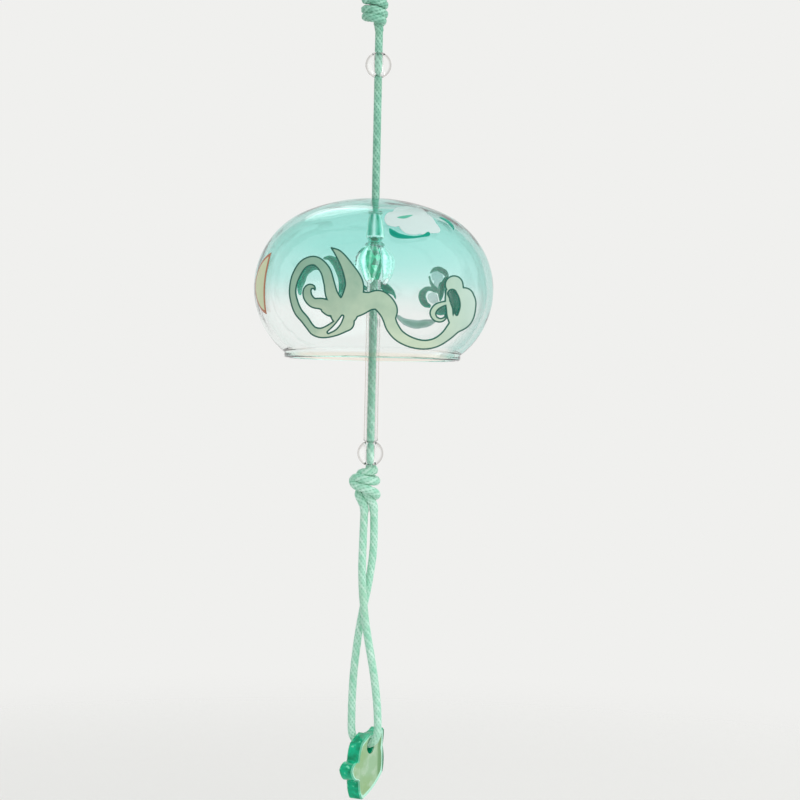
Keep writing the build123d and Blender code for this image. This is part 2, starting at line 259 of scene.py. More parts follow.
def addNode(tree, kind, values):
    node = tree.nodes.new("ShaderNode" + kind)
    feed(tree, node, values)
    return node


def mathNode(tree, operation, first, second=None, clamp=False):
    node = addNode(tree, "Math", {0: first, 1: second})
    node.operation = operation
    node.use_clamp = clamp
    return node.outputs[0]


def mixColor(tree, factor, first, second):
    node = tree.nodes.new("ShaderNodeMix")
    node.data_type = "RGBA"
    feed(tree, node, {0: factor, 6: first, 7: second})
    return node.outputs[2]


def span(tree, value, low, high, toLow=0.0, toHigh=1.0, smooth=False):
    # The value's range from low to high, stretched to a new one and held at its ends
    node = addNode(tree, "MapRange", {"Value": value, "From Min": low, "From Max": high, "To Min": toLow,
                                      "To Max": toHigh})
    node.clamp = True
    if smooth:
        node.interpolation_type = "SMOOTHSTEP"
    return node.outputs["Result"]


def noiseNode(tree, scale, detail, roughness, place):
    look = {"Scale": scale, "Detail": detail, "Roughness": roughness, "Vector": place}
    return addNode(tree, "TexNoise", look).outputs["Fac"]


def clouds(tree, place, look, smooth=False):
    # A look is the noise's scale, detail and roughness, the range taken from it, and what that becomes
    grain, taken, given = look
    return span(tree, noiseNode(tree, *grain, place), *taken, *given, smooth=smooth)


def attribute(tree, name):
    node = tree.nodes.new("ShaderNodeAttribute")
    node.attribute_name = name
    return node.outputs["Fac"]


def objectPlace(tree):
    return tree.nodes.new("ShaderNodeTexCoord").outputs["Object"]


def axisOf(tree, place, name):
    return addNode(tree, "SeparateXYZ", {0: place}).outputs[name]


def bump(tree, height, strength, distance):
    values = {"Strength": strength, "Distance": distance, "Height": height}
    return addNode(tree, "Bump", values).outputs["Normal"]


def facingRatio(tree):
    # 0 where one looks straight at the surface, 1 at its edge
    return addNode(tree, "LayerWeight", {"Blend": 0.5}).outputs["Facing"]


def plainColor(red, green, blue):
    # A colour as seen on screen, 0 to 255, as the shader's own linear one
    def linear(value):
        value /= 255
        return value / 12.92 if value <= 0.04045 else ((value + 0.055) / 1.055) ** 2.4
    return (linear(red), linear(green), linear(blue), 1.0)


def startMaterial(name):
    material = bpy.data.materials.new(name)
    material.use_nodes = True
    tree = material.node_tree
    return material, tree, tree.nodes["Principled BSDF"]


def glassWaver():
    # Slow unevenness of blown or pressed glass, as a height, shared by every glass
    group, start, end = startGroup(
        "glassWaver",
        [
            ("Scale", "NodeSocketFloat", 60.0),
            ("Fine Scale", "NodeSocketFloat", 260.0),
            ("Fine Share", "NodeSocketFloat", 0.25),
        ],
        [("Height", "NodeSocketFloat")],
    )
    heights = []
    for label in ("Scale", "Fine Scale"):
        look = {"Detail": 1.0, "Vector": objectPlace(group), "Scale": start.outputs[label]}
        heights.append(addNode(group, "TexNoise", look).outputs["Fac"])
    fine = mathNode(group, "MULTIPLY", heights[1], start.outputs["Fine Share"])
    feed(group, end, {"Height": mathNode(group, "ADD", heights[0], fine)})
    return group


waverGroup = glassWaver()


def addWaver(tree, scale, fineScale, fineShare):
    node = tree.nodes.new("ShaderNodeGroup")
    node.node_tree = waverGroup
    feed(tree, node, {"Scale": scale, "Fine Scale": fineScale, "Fine Share": fineShare})
    return node.outputs["Height"]


def letLampsThrough(tree, shader, share):
    # Glass passes the lamps' light on to what it covers
    path = tree.nodes.new("ShaderNodeLightPath")
    clear = addNode(tree, "BsdfTransparent", {"Color": (share, share, share, 1.0)})
    mix = addNode(tree, "MixShader", {0: path.outputs["Is Shadow Ray"], 1: shader.outputs[0],
                                      2: clear.outputs[0]})
    feed(tree, tree.nodes["Material Output"], {"Surface": mix.outputs[0]})


def finishGlass(tree, shader, finish, color):
    # What every glass has: its values, its waver and its way with the lamps' light
    feed(tree, shader, {
        "Base Color": color,
        "Roughness": finish["roughness"],
        "IOR": finish["ior"],
        "Specular IOR Level": finish["specular"],
        "Transmission Weight": finish["clear"],
        "Normal": bump(tree, addWaver(tree, *finish["waver"]), *finish["bump"]),
    })
    letLampsThrough(tree, shader, finish["lampShare"])


# Cord: a round braid, its relief in the mesh and its yarns in the finish, with painted shade in its
# grooves and along the lines between its yarns. It is fresher in colour inside the bell and its tube, and
# paler below the lower knot.
cordFinish = {
    "yarn": plainColor(104, 176, 148),
    "yarnLight": plainColor(176, 230, 208),
    "yarnInside": plainColor(84, 188, 150),
    "yarnLow": plainColor(140, 214, 182),
    "yarnLightLow": plainColor(216, 248, 234),
    # The groove colours are painted shade for the braid's low parts and the lines between its yarns
    "grooveShade": plainColor(86, 152, 126),
    "grooveShadeLow": plainColor(136, 200, 170),
    "soil": plainColor(140, 164, 122),
    "insideTop": -0.116,
    "insideFoot": -0.212,
    "insideBlend": 8 * mm,
    "paleTop": -0.14,
    "paleFoot": -0.23,
    "patches": ((500.0, 3.0, 0.6), (0.35, 0.65), (-0.25, 0.25)),
    "worn": ((70.0, 2.0, 0.5), (0.55, 0.8), (0.0, 0.35)),
    "yarnLineShadeShare": 0.2,
    "shadedGrooveHeights": (0.1, 0.7),
    "grooveShadeShare": 0.8,
    "fuzz": (2600.0, 2.0, 0.6),
    "bump": (0.5, 0.06 * mm),
    "rough": (0.52, 0.34),
    "sheen": 0.25,
    "sheenRoughness": 0.4,
}


def cordMaterial(finish):
    material, tree, shader = startMaterial("braidedCord")
    place = objectPlace(tree)
    z = axisOf(tree, place, "Z")
    relief, tone = attribute(tree, "braidHeight"), attribute(tree, "strandTone")
    streak = mathNode(tree, "SINE", mathNode(tree, "MULTIPLY", attribute(tree, "yarnTurn"), 2 * math.pi))
    light = mathNode(tree, "ADD", tone, clouds(tree, place, finish["patches"]), clamp=True)
    low = span(tree, z, finish["paleFoot"], finish["paleTop"], 1.0, 0.0, smooth=True)
    foot, top, blend = finish["insideFoot"], finish["insideTop"], finish["insideBlend"]
    inside = mathNode(tree, "MULTIPLY", span(tree, z, foot, foot + blend),
                      span(tree, z, top - blend, top, 1.0, 0.0))
    grooveShade = mixColor(tree, low, finish["grooveShade"], finish["grooveShadeLow"])
    darkYarn = mixColor(tree, inside, mixColor(tree, low, finish["yarn"], finish["yarnLow"]),
                        finish["yarnInside"])
    lightYarn = mixColor(tree, low, finish["yarnLight"], finish["yarnLightLow"])
    yarn = mixColor(tree, light, darkYarn, lightYarn)
    # Painted shade along the lines between the yarns
    yarn = mixColor(tree, span(tree, streak, -1, 1, 0.0, finish["yarnLineShadeShare"]), yarn, grooveShade)
    yarn = mixColor(tree, clouds(tree, place, finish["worn"]), yarn, finish["soil"])
    # Painted shade: the low parts of the braid's relief are darkened towards the groove colour
    deep = span(tree, relief, *finish["shadedGrooveHeights"], finish["grooveShadeShare"], 0.0, smooth=True)
    height = mathNode(tree, "ADD", mathNode(tree, "MULTIPLY", streak, 0.5),
                      noiseNode(tree, *finish["fuzz"], place))
    feed(tree, shader, {
        "Base Color": mixColor(tree, deep, yarn, grooveShade),
        "Roughness": span(tree, light, 0, 1, *finish["rough"]),
        "Sheen Weight": finish["sheen"],
        "Sheen Roughness": finish["sheenRoughness"],
        "Normal": bump(tree, height, *finish["bump"]),
    })
    return material


cordLook = cordMaterial(cordFinish)
print("cord material is made")


cordBuild = {
    "diameter": 2.7 * mm,
    "sides": 40,
    "step": 0.2 * mm,
    "strands": 6,
    "lay": 11.0 * mm,
    "depth": 0.12,
    "roundness": 0.92,
    "crossing": 0.2,
    "lowest": 0.3,
    "reliefRange": 0.85,
    "yarnsPerStrand": 4,
    "tones": [0.32, 0.62, 0.42, 0.74, 0.36, 0.54],
    "tipSteps": 7,
    "tipValues": (0.5, 0.0, 0.3),
}


def braidTube(line, build):
    # A round-ended tube along the line with a braid's relief. It gives the mesh and, at each point,
    # the relief's height, the place across its yarns and the strand's tone.
    radius = build["diameter"] / 2
    sides = build["sides"]
    line = evenly(line, build["step"])
    ways, firsts, seconds = carryFrames(line)
    along = np.linspace(0, lineLength(line), len(line))[:, None] / build["lay"]
    turns = np.arange(sides) / sides
    rightHand = build["strands"] * (turns[None, :] + along)
    leftHand = build["strands"] * (turns[None, :] - along)
    across = 2 * (rightHand % 1) - 1
    ridge = np.sqrt(1 - build["roundness"] * across ** 2)
    ridge = ridge + build["crossing"] * np.cos(2 * math.pi * leftHand)
    relief = np.clip((ridge - build["lowest"]) / build["reliefRange"], 0, 1)
    yarn = across * build["yarnsPerStrand"] / 2
    tone = np.array(build["tones"])[np.floor(rightHand).astype(int) % build["strands"]]
    reach = radius * (1 - build["depth"] * (1 - relief))
    angle = 2 * math.pi * turns[None, :, None]
    spokes = firsts[:, None, :] * np.cos(angle) + seconds[:, None, :] * np.sin(angle)
    rows = list(line[:, None, :] + spokes * reach[:, :, None])
    values = [list(relief), list(yarn), list(tone)]
    for end, sign in ((0, -1), (len(line) - 1, 1)):
        for k in range(1, build["tipSteps"]):
            tilt = math.pi / 2 * k / build["tipSteps"]
            ring = line[end] + ways[end] * sign * radius * math.sin(tilt)
            ring = ring + spokes[end] * (reach[end] * math.cos(tilt))[:, None]
            place = 0 if sign < 0 else len(rows)
            rows.insert(place, ring)
            for kept, atEnd in zip(values, (relief[end], yarn[end], tone[end])):
                kept.insert(place, atEnd)
    faces = []
    for i in range(len(rows) - 1):
        for j in range(sides):
            k = (j + 1) % sides
            faces.append((i * sides + j, i * sides + k, (i + 1) * sides + k, (i + 1) * sides + j))
    poles = np.array([line[0] - ways[0] * radius, line[-1] + ways[-1] * radius])
    base = len(rows) * sides
    for j in range(sides):
        k = (j + 1) % sides
        faces.append((base, k, j))
        faces.append((base + 1, base - sides + j, base - sides + k))
    values = [np.concatenate([np.concatenate(kept), [pole, pole]])
              for kept, pole in zip(values, build["tipValues"])]
    return np.concatenate(rows + [poles]), faces, values


def addCordPiece(name, body, line, build=cordBuild):
    verts, faces, values = braidTube(line, build)
    piece = addPiece(name, verts, faces, [cordLook], body)
    for label, kept in zip(("braidHeight", "yarnTurn", "strandTone"), values):
        storeValue(piece, label, kept)
    return piece


loopPivot, linePivot, crownPivot = pivots["loop_rock"], pivots["line_swing"], pivots["bell_rock"]
seatPivot, pendantPivot = pivots["clapper_swing"], pivots["pendant_swing"]
cordRadius = cordBuild["diameter"] / 2

# Free cord routes, each from its exit: across, towards the back and up, in millimetres from a pivot
hangingRoute = [
    (-1.6, 0, 0), (-3.6, 0, 24.0), (-4.7, 0, 41.4), (4.7, 0, 41.4), (3.6, 0, 24.0), (1.6, 0, 0),
]
charmRoute = [
    (-1.6, 0.0, 0.0), (-1.9, -0.5, -10.85), (-2.0, -1.5, -23.85), (-0.4, -1.9, -38.35),
    (2.8, -1.7, -54.35), (4.5, -2.2, -68.35), (4.35, -2.31, -78.45), (-4.35, 2.31, -78.45),
    (-4.6, 2.4, -68.35), (-4.2, 1.9, -54.35), (-2.4, 1.8, -38.35), (0.5, 1.4, -23.85),
    (2.1, 0.5, -10.85), (1.6, 0.0, 0.0),
]


def routeFrom(pivot, route):
    return [pivot + Vector(point) * mm for point in route]


def addFreeCord(name, node, body, route, step=1.0 * mm):
    line = evenly(smoothLine(route), step)
    piece = addCordPiece(name, body, line)
    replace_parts(piece, node)


def straightRoute(top, bottom):
    return [top, (top + bottom) / 2, bottom]


clapperLow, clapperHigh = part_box("clapper_cord")
clapperTop = Vector((0, 0, clapperHigh.z - cordRadius))
clapperFoot = Vector((0, 0, clapperLow.z))
addFreeCord("hangingLoopCord", "hanging_loop", "hanger", routeFrom(loopPivot, hangingRoute))
addFreeCord("upperCord", "upper_cord", "line", straightRoute(linePivot, crownPivot))
addFreeCord("clapperCord", "clapper_cord", "clapper", straightRoute(clapperTop, clapperFoot))
addFreeCord("charmLoopCord", "charm_loop", "pendant", routeFrom(pendantPivot, charmRoute))

stopperLow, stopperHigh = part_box("stopper_cord")
stopperLine = np.array([(0, 0, stopperHigh.z - cordRadius), (0, 0, stopperLow.z + cordRadius)])
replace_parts(addCordPiece("stopperCord", "stopper", stopperLine), "stopper_cord")
print("free cords are laid")


# Knots: one strand runs through, and the other is laid round it in slanting turns and tucked in.
# Across, towards the back and up, in millimetres from the hook.
knotBuild = dict(cordBuild, diameter=3.05 * mm, step=0.17 * mm, lay=10.0 * mm)
topKnotCore = [
    (-1.6, 0, -40.0), (-1.6, 0, -44.0), (-1.6, 0, -49.0), (-1.3, 0, -53.5), (-0.4, 0, -57.0),
    (0, 0, -59.3),
]
topKnotWinding = [
    (1.6, 0.0, -40.0), (1.5, 0.4, -41.8), (-1.6, 3.1, -43.0), (-4.7, 0.0, -43.8), (-1.6, -3.1, -44.5),
    (1.5, 0.0, -45.4), (-1.6, 3.1, -46.0), (-4.7, 0.0, -46.6), (-1.6, -3.1, -47.3), (1.5, 0.0, -48.2),
    (-1.6, 3.1, -48.8), (-4.7, 0.0, -49.4), (-1.6, -3.1, -50.2), (1.5, 0.0, -51.0), (-1.6, 3.1, -51.9),
    (-4.8, 0.0, -52.7), (-1.6, -3.1, -53.4), (1.5, 0.0, -54.2), (-1.6, 3.0, -54.7), (-4.5, 0.0, -55.1),
    (-3.2, -2.4, -55.6), (-0.8, -2.6, -56.1), (0.9, -1.2, -56.5), (0.6, 0.8, -56.8), (-0.4, 0.9, -57.2),
]
lowerKnotCore = [
    (0, 0, -206.3), (-0.2, 0, -208.0), (-1.3, 0.1, -210.5), (-1.6, 0, -213.0), (-0.6, 0, -216.0),
    (1.2, 0, -218.8), (1.6, 0, -221.0),
]
lowerKnotWinding = [
    (0.1, 0.4, -206.4), (1.3, -0.4, -207.4), (-0.8, -2.1, -208.0), (-3.1, -0.6, -208.7),
    (-1.7, 2.4, -209.7), (1.6, 1.4, -210.7), (1.8, -1.6, -211.1), (-1.2, -3.2, -210.7),
    (-4.4, -1.8, -210.0), (-5.5, -0.6, -211.3), (-4.4, -2.0, -212.7), (-1.2, -3.3, -213.6),
    (1.8, -1.9, -214.9), (2.1, 0.8, -216.0), (0.3, 2.6, -215.4), (-2.4, 2.6, -214.6),
    (-3.6, 1.2, -215.6), (-2.6, 0.4, -217.8), (-1.8, 0.1, -219.6), (-1.6, 0.0, -221.1),
]


def addKnot(name, node, body, core, winding, steps=12):
    for label, places in (("Core", core), ("Winding", winding)):
        line = throughPoints(places, steps) * mm
        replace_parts(addCordPiece(name + label, body, line, knotBuild), node)


addKnot("topKnot", "hanging_knot", "top_knot", topKnotCore, topKnotWinding)
addKnot("lowerKnot", "lower_knot", "tail", lowerKnotCore, lowerKnotWinding)
print("knots are tied")


# Bell: crown, shoulder and belly arcs, as blown, with a ground lip
bellShape = {
    "top": crownPivot.z + 1.0 * mm,
    "radius": 40.2 * mm,
    "height": 54.0 * mm,
    "equatorDepth": 30.5 * mm,
    "crownRadius": 59.0 * mm,
    "mouthRadius": 29.6 * mm,
    "lip": 1.9 * mm,
    "wall": 2.0 * mm,
    "rimRound": 0.85 * mm,
    "holeRadius": 2.1 * mm,
    "holeRound": 0.4 * mm,
    "segments": 160,
    "arcSteps": 26,
    "lipSteps": 6,
    "holeSteps": 4,
    "waver": 0.09 * mm,
    "waverAround": 1.3,
    "waverUp": 42,
    "innerShare": 1.6,
    "innerShift": 7,
    "evenAtHole": 12 * mm,
    "evenAtLip": 6 * mm,
}


def bellArcs(shape):
    # Each arc as its centre's radius and depth below the top, and its own radius, then the angle
    # that the crown ends at
    top, equator, depth = shape["crownRadius"], shape["radius"], shape["equatorDepth"]
    shoulder = (2 * top * depth - equator ** 2 - depth ** 2) / (2 * (top - equator))
    step = equator - shape["mouthRadius"]
    drop = shape["height"] - shape["lip"] - depth
    belly = (step ** 2 + drop ** 2) / (2 * step)
    joints = [(0.0, top, top), (equator - shoulder, depth, shoulder), (equator - belly, depth, belly)]
    return joints, math.asin((equator - shoulder) / (top - shoulder))


arcs, crownAngle = bellArcs(bellShape)


def bellSide(shape, inset, steps):
    # Profile from the crown hole to the foot, as (radius, height)
    edge = shape["holeRadius"] + shape["holeRound"]
    crown, bellyX, belly = arcs[0][2], arcs[2][0], arcs[2][2]
    turns = [
        math.degrees(math.asin(edge / (crown - inset))),
        math.degrees(crownAngle),
        90,
        90 + math.degrees(math.acos((shape["mouthRadius"] - inset - bellyX) / (belly - inset))),
    ]
    return joinProfile(*[
        arcPoints((x, shape["top"] - depth), size - inset, start, end, count)
        for (x, depth, size), start, end, count in zip(arcs, turns, turns[1:], (steps, steps * 2, steps))
    ])


def addBell(shape, material):
    outer = bellSide(shape, 0.0, shape["arcSteps"])
    inner = bellSide(shape, shape["wall"], shape["arcSteps"])
    foot = shape["top"] - shape["height"]
    mouth, wall, edge = shape["mouthRadius"], shape["wall"], shape["rimRound"]
    lip = joinProfile(
        arcPoints((mouth - edge, foot + edge), edge, 90, 180, shape["lipSteps"]),
        arcPoints((mouth - wall + edge, foot + edge), edge, 180, 270, shape["lipSteps"]),
    )
    hole, ease = shape["holeRadius"], shape["holeRound"]
    upper = arcPoints((hole + ease, outer[0][1] - ease), ease, 270, 360, shape["holeSteps"])
    lower = arcPoints((hole + ease, inner[0][1] + ease), ease, 180, 270, shape["holeSteps"])
    profile = joinProfile(outer, lip, inner[::-1], lower, upper)

    def waver(angle, j):
        # Only the wall is uneven, not its lip or its hole
        radius, height = profile[j]
        share = held((radius - hole - ease) / shape["evenAtHole"])
        share *= held((height - foot) / shape["evenAtLip"])
        side, shift = (1.0, 0) if j < len(outer) else (shape["innerShare"], shape["innerShift"])
        around = shape["waverAround"]
        spot = (math.cos(angle) * around, math.sin(angle) * around, height * shape["waverUp"] + shift)
        return noise.noise(Vector(spot)) * shape["waver"] * side * share

    verts, faces = spin(profile, shape["segments"], waver)
    piece = addPiece("bellGlass", verts, faces, [material], "bell")
    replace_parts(piece, "bell_glass")


bellFinish = {
    "top": (0.60, 0.925, 0.885, 1.0),
    "shoulder": (0.70, 0.955, 0.925, 1.0),
    "belly": (0.985, 0.995, 0.99, 1.0),
    # Edge colours, taken where one looks along the wall, are partly painted shade
    "edge": (0.10, 0.52, 0.44, 1.0),
    "edgeClear": (0.80, 0.93, 0.90, 1.0),
    "edgeHeavy": (0.04, 0.50, 0.42, 1.0),
    "lip": (0.97, 0.90, 0.82, 1.0),
    "lipEdge": (0.42, 0.93, 0.85, 1.0),
    "topDepth": 13 * mm,
    "shoulderDepth": 24 * mm,
    "bellyDepth": 39 * mm,
    "lipFrom": 51.9 * mm,
    "lipTo": 52.7 * mm,
    "drift": (28.0, 1.0, 0.5),
    "driftDepth": 14 * mm,
    "heavySide": (-15 * mm, 25 * mm),
    "grazing": (0.5, 0.9, 0.0, 0.94),
    "lipGrazing": (0.35, 0.8),
    "roughness": 0.0,
    "ior": 1.47,
    "specular": 0.3,
    "clear": 1.0,
    "waver": (70.0, 240.0, 0.15),
    "bump": (0.25, 0.6 * mm),
    "lampShare": 0.93,
}


def bellMaterial(finish):
    # Turquoise from the crown down to clear. Where one looks along the wall it deepens towards the edge
    # colours, partly as the longer path through tinted glass does and partly as painted shade for the
    # dark band at the glass's edge, deepest on the right in the lower part
    material, tree, shader = startMaterial("turquoiseGlass")
    place = objectPlace(tree)
    x, z = axisOf(tree, place, "X"), axisOf(tree, place, "Z")
    trueDepth = mathNode(tree, "SUBTRACT", bellShape["top"], z)
    drift = mathNode(tree, "SUBTRACT", noiseNode(tree, *finish["drift"], place), 0.5)
    depth = mathNode(tree, "ADD", trueDepth, mathNode(tree, "MULTIPLY", drift, finish["driftDepth"]))
    upper = span(tree, depth, finish["topDepth"], finish["shoulderDepth"], smooth=True)
    fade = span(tree, depth, finish["shoulderDepth"], finish["bellyDepth"], smooth=True)
    tint = mixColor(tree, fade, mixColor(tree, upper, finish["top"], finish["shoulder"]), finish["belly"])
    heavy = span(tree, x, *finish["heavySide"], smooth=True)
    rim = mixColor(tree, fade, finish["edge"],
                   mixColor(tree, heavy, finish["edgeClear"], finish["edgeHeavy"]))
    facing = facingRatio(tree)
    wall = mixColor(tree, span(tree, facing, *finish["grazing"], smooth=True), tint, rim)
    lip = mixColor(tree, span(tree, facing, *finish["lipGrazing"]), finish["lip"], finish["lipEdge"])
    atLip = span(tree, trueDepth, finish["lipFrom"], finish["lipTo"])
    finishGlass(tree, shader, finish, mixColor(tree, atLip, wall, lip))
    return material


addBell(bellShape, bellMaterial(bellFinish))
print("bell is blown")


# Painted cloud scrolls on the bell, drawn with brush strokes: right of the axis, down from the
# bell's top, and half the stroke's width, all in millimetres in the plane through the axis.
scrollStrokes = [
    [(-11.0, 39.0, 3.5), (-12.3, 35.7, 2.6), (-14.1, 32.3, 2.3), (-15.0, 28.7, 2.0), (-16.5, 24.2, 1.9),
     (-19.8, 21.3, 1.7), (-23.6, 22.4, 1.6), (-26.2, 26.5, 1.5), (-27.2, 31.3, 1.3), (-26.5, 35.3, 1.4),
     (-25.1, 38.5, 1.5), (-23.0, 40.9, 1.5), (-21.2, 43.3, 1.4), (-19.5, 44.9, 1.6), (-16.7, 45.3, 1.9),
     (-13.0, 44.0, 2.5), (-9.2, 41.7, 3.1)],
    [(-13.6, 37.3, 2.6), (-17.1, 35.7, 2.1), (-20.2, 35.3, 1.8), (-22.0, 33.4, 1.7), (-22.3, 31.2, 1.5),
     (-21.4, 30.0, 1.1), (-20.2, 30.1, 0.7), (-19.7, 31.0, 0.3)],
    [(-16.2, 37.4, 1.5), (-15.2, 38.8, 0.9), (-14.1, 39.8, 0.2)],
    [(-14.5, 16.8, 0.3), (-11.9, 18.9, 1.4), (-8.9, 23.3, 2.2), (-6.6, 28.5, 3.2), (-7.1, 33.1, 3.6),
     (-9.0, 38.4, 4.1)],
    [(-10.2, 37.2, 4.1), (-5.6, 35.5, 4.2), (-1.4, 34.4, 3.2), (2.0, 34.1, 3.5), (4.8, 36.9, 3.4),
     (5.4, 40.0, 2.4), (6.5, 42.9, 2.3), (8.9, 45.8, 2.1), (12.7, 47.8, 1.9), (17.1, 48.6, 1.7),
     (21.1, 47.8, 1.7), (24.5, 45.5, 1.9), (27.3, 42.4, 2.4)],
    [(27.3, 42.4, 2.4), (30.0, 39.2, 3.6), (31.0, 34.8, 3.6), (30.4, 32.5, 3.5)],
    [(30.3, 33.4, 3.5), (28.4, 30.5, 2.3), (26.9, 28.3, 3.2)],
    [(25.4, 34.4, 0.8), (23.3, 34.8, 1.0), (21.1, 35.9, 1.2), (20.0, 37.9, 1.2), (20.8, 39.7, 1.0),
     (22.6, 40.3, 0.8), (24.1, 39.5, 0.6), (24.2, 38.3, 0.3)],
    [(27.3, 42.1, 1.4), (25.9, 39.0, 1.3), (25.5, 36.4, 1.3), (24.8, 33.5, 1.0), (25.1, 30.6, 1.2)],
]
scrollCuts = [
    [(-14.9, 45.1, 0.2), (-13.0, 43.7, 0.5), (-11.5, 41.9, 0.5), (-10.3, 39.7, 0.2)],
    [(26.3, 31.3, 1.2), (27.3, 33.3, 1.2), (28.0, 35.6, 0.8), (28.0, 38.2, 0.1)],
]
# On the far side, seen through the glass
backStrokes = [
    [(-17.3, 19.6, 0.5), (-15.4, 19.6, 0.9), (-13.4, 21.1, 1.5), (-12.0, 23.6, 1.7), (-11.0, 27.1, 1.5),
     (-10.8, 30.5, 1.3), (-11.6, 33.7, 0.7), (-12.1, 35.2, 0.2)],
    [(-25.4, 32.3, 0.6), (-25.3, 29.1, 1.0), (-24.1, 25.3, 1.4), (-21.7, 22.6, 1.5), (-19.1, 22.4, 1.4),
     (-17.3, 24.6, 1.0), (-16.6, 27.5, 0.5)],
    [(-5.1, 28.7, 0.5), (-3.6, 30.1, 0.8), (-1.5, 30.9, 0.6), (0.8, 29.8, 0.9), (2.9, 29.1, 1.4),
     (4.9, 30.5, 1.3), (6.8, 32.3, 0.6), (7.5, 33.9, 0.2)],
    [(27.0, 30.8, 2.2), (28.4, 33.2, 2.6), (29.4, 35.8, 2.0), (29.4, 38.4, 0.8)],
    [(22.3, 37.7, 1.3), (23.8, 37.4, 1.9), (25.5, 37.9, 1.3)],
    [(-12.4, 32.6, 0.3), (-10.2, 33.4, 1.3), (-6.6, 34.2, 2.1), (-2.6, 34.0, 2.3), (1.2, 33.4, 1.9),
     (4.0, 33.6, 1.2), (6.2, 35.0, 0.3)],
]
knobStrokes = [
    [(19.6, 24.3, 0.3), (20.9, 23.1, 0.7), (22.7, 22.9, 0.9), (24.7, 23.8, 1.0), (25.7, 25.4, 0.8),
     (24.7, 27.2, 0.9), (23.9, 28.9, 1.2), (23.5, 31.3, 1.0), (23.4, 33.6, 0.5)],
    [(19.3, 25.6, 0.3), (19.9, 27.6, 0.5), (21.0, 29.3, 0.7), (22.5, 30.7, 0.8)],
    [(21.6, 30.7, 0.6), (19.3, 29.9, 0.7), (17.5, 30.8, 1.2), (16.9, 33.1, 1.4), (17.8, 35.1, 1.2),
     (19.5, 36.0, 0.6)],
]
ballStrokes = [
    [(22.0, 25.0, 2.0), (22.2, 25.5, 2.0)],
    [(22.3, 28.1, 1.3), (22.4, 28.4, 1.2)],
    [(20.7, 32.9, 1.7), (21.0, 33.6, 1.5)],
]
bandStrokes = [
    [(8.2, 40.0, 0.6), (10.8, 41.7, 1.2), (14.3, 42.6, 1.5), (18.1, 42.4, 1.3), (21.8, 41.3, 0.6)],
]
# On the shoulder and the left side
cloudStrokes = [
    [(5.5, 6.7, 2.4), (6.6, 6.7, 2.6)],
    [(8.4, 5.2, 2.7), (9.4, 5.6, 3.2)],
    [(12.4, 6.9, 4.9), (13.2, 7.1, 4.7)],
    [(16.3, 8.2, 3.5), (17.2, 8.5, 3.1)],
    [(19.4, 9.4, 1.8), (20.9, 10.1, 1.0)],
]
shadeStrokes = [
    [(4.9, 10.0, 0.2), (5.9, 11.3, 0.9), (7.8, 12.2, 0.85), (10.4, 12.6, 0.6), (13.4, 12.6, 0.35),
     (16.2, 12.1, 0.4), (17.8, 11.5, 0.75)],
    [(7.3, 6.2, 0.1), (8.4, 6.1, 0.35), (9.7, 6.0, 0.5), (11.0, 5.7, 0.4), (12.6, 5.2, 0.1)],
    [(21.6, 5.8, 0.15), (23.0, 6.3, 0.3), (24.6, 7.3, 0.4), (25.9, 8.6, 0.35), (26.5, 9.8, 0.15)],
]
sideStrokes = [
    [(6.6, 20.0, 0.4), (4.2, 24.1, 3.4), (2.2, 28.1, 5.2), (1.4, 31.6, 5.5), (2.0, 35.6, 4.0),
     (4.0, 40.4, 0.5)],
]

filmBuild = {
    "cell": 0.3,
    "lift": 0.05 * mm,
    "thickness": 0.07 * mm,
    "strokeSteps": 18,
    "thinnestStroke": 0.05,
    "thinnestCut": 0.02,
    "nearCorner": 0.02,
    "castRounds": 30,
}


def paintDepth(places, strokes, cuts, build):
    # How far each place lies inside the painted shape, in millimetres
    def outside(x, down, half, thinnest):
        return np.hypot(places[:, 0] - x, places[:, 1] - down) - max(half, thinnest)

    depth = np.full(len(places), -np.inf)
    for controls in strokes:
        for point in throughPoints(controls, build["strokeSteps"]):
            depth = np.maximum(depth, -outside(*point, build["thinnestStroke"]))
    for controls in cuts:
        for point in throughPoints(controls, build["strokeSteps"]):
            depth = np.minimum(depth, outside(*point, build["thinnestCut"]))
    return depth


def fillShape(strokes, cuts, build):
    # Flat mesh of a painted shape: its places, its depth at each and its faces
    reach = np.array([point for stroke in strokes for point in stroke])
    cell = build["cell"]
    widest = reach[:, 2].max()
    low = reach[:, :2].min(0) - widest - 2 * cell
    high = reach[:, :2].max(0) + widest + 2 * cell
    across = np.arange(low[0], high[0] + cell, cell)
    down = np.arange(low[1], high[1] + cell, cell)
    gridX, gridY = np.meshgrid(across, down)
    places = np.stack([gridX.ravel(), gridY.ravel()], 1)
    depth = paintDepth(places, strokes, cuts, build)
    width = len(across)
    made, numbers, faces = [], {}, []

    def corner(i):
        if i not in numbers:
            numbers[i] = len(made)
            made.append((places[i][0], places[i][1], depth[i]))
        return numbers[i]

    def crossing(i, k):
        key = (min(i, k), max(i, k))
        if key not in numbers:
            share = depth[key[0]] / (depth[key[0]] - depth[key[1]])
            share = min(1 - build["nearCorner"], max(build["nearCorner"], share))
            spot = places[key[0]] * (1 - share) + places[key[1]] * share
            numbers[key] = len(made)
            made.append((spot[0], spot[1], 0.0))
        return numbers[key]

    inside = depth > 0
    for row in range(len(down) - 1):
        for column in range(width - 1):
            i = row * width + column
            ring = (i, i + 1, i + 1 + width, i + width)
            face = []
            for here, after in zip(ring, ring[1:] + ring[:1]):
                if inside[here]:
                    face.append(corner(here))
                if inside[here] != inside[after]:
                    face.append(crossing(here, after))
            if len(face) > 2:
                faces.append(tuple(face))
    return np.array(made), faces


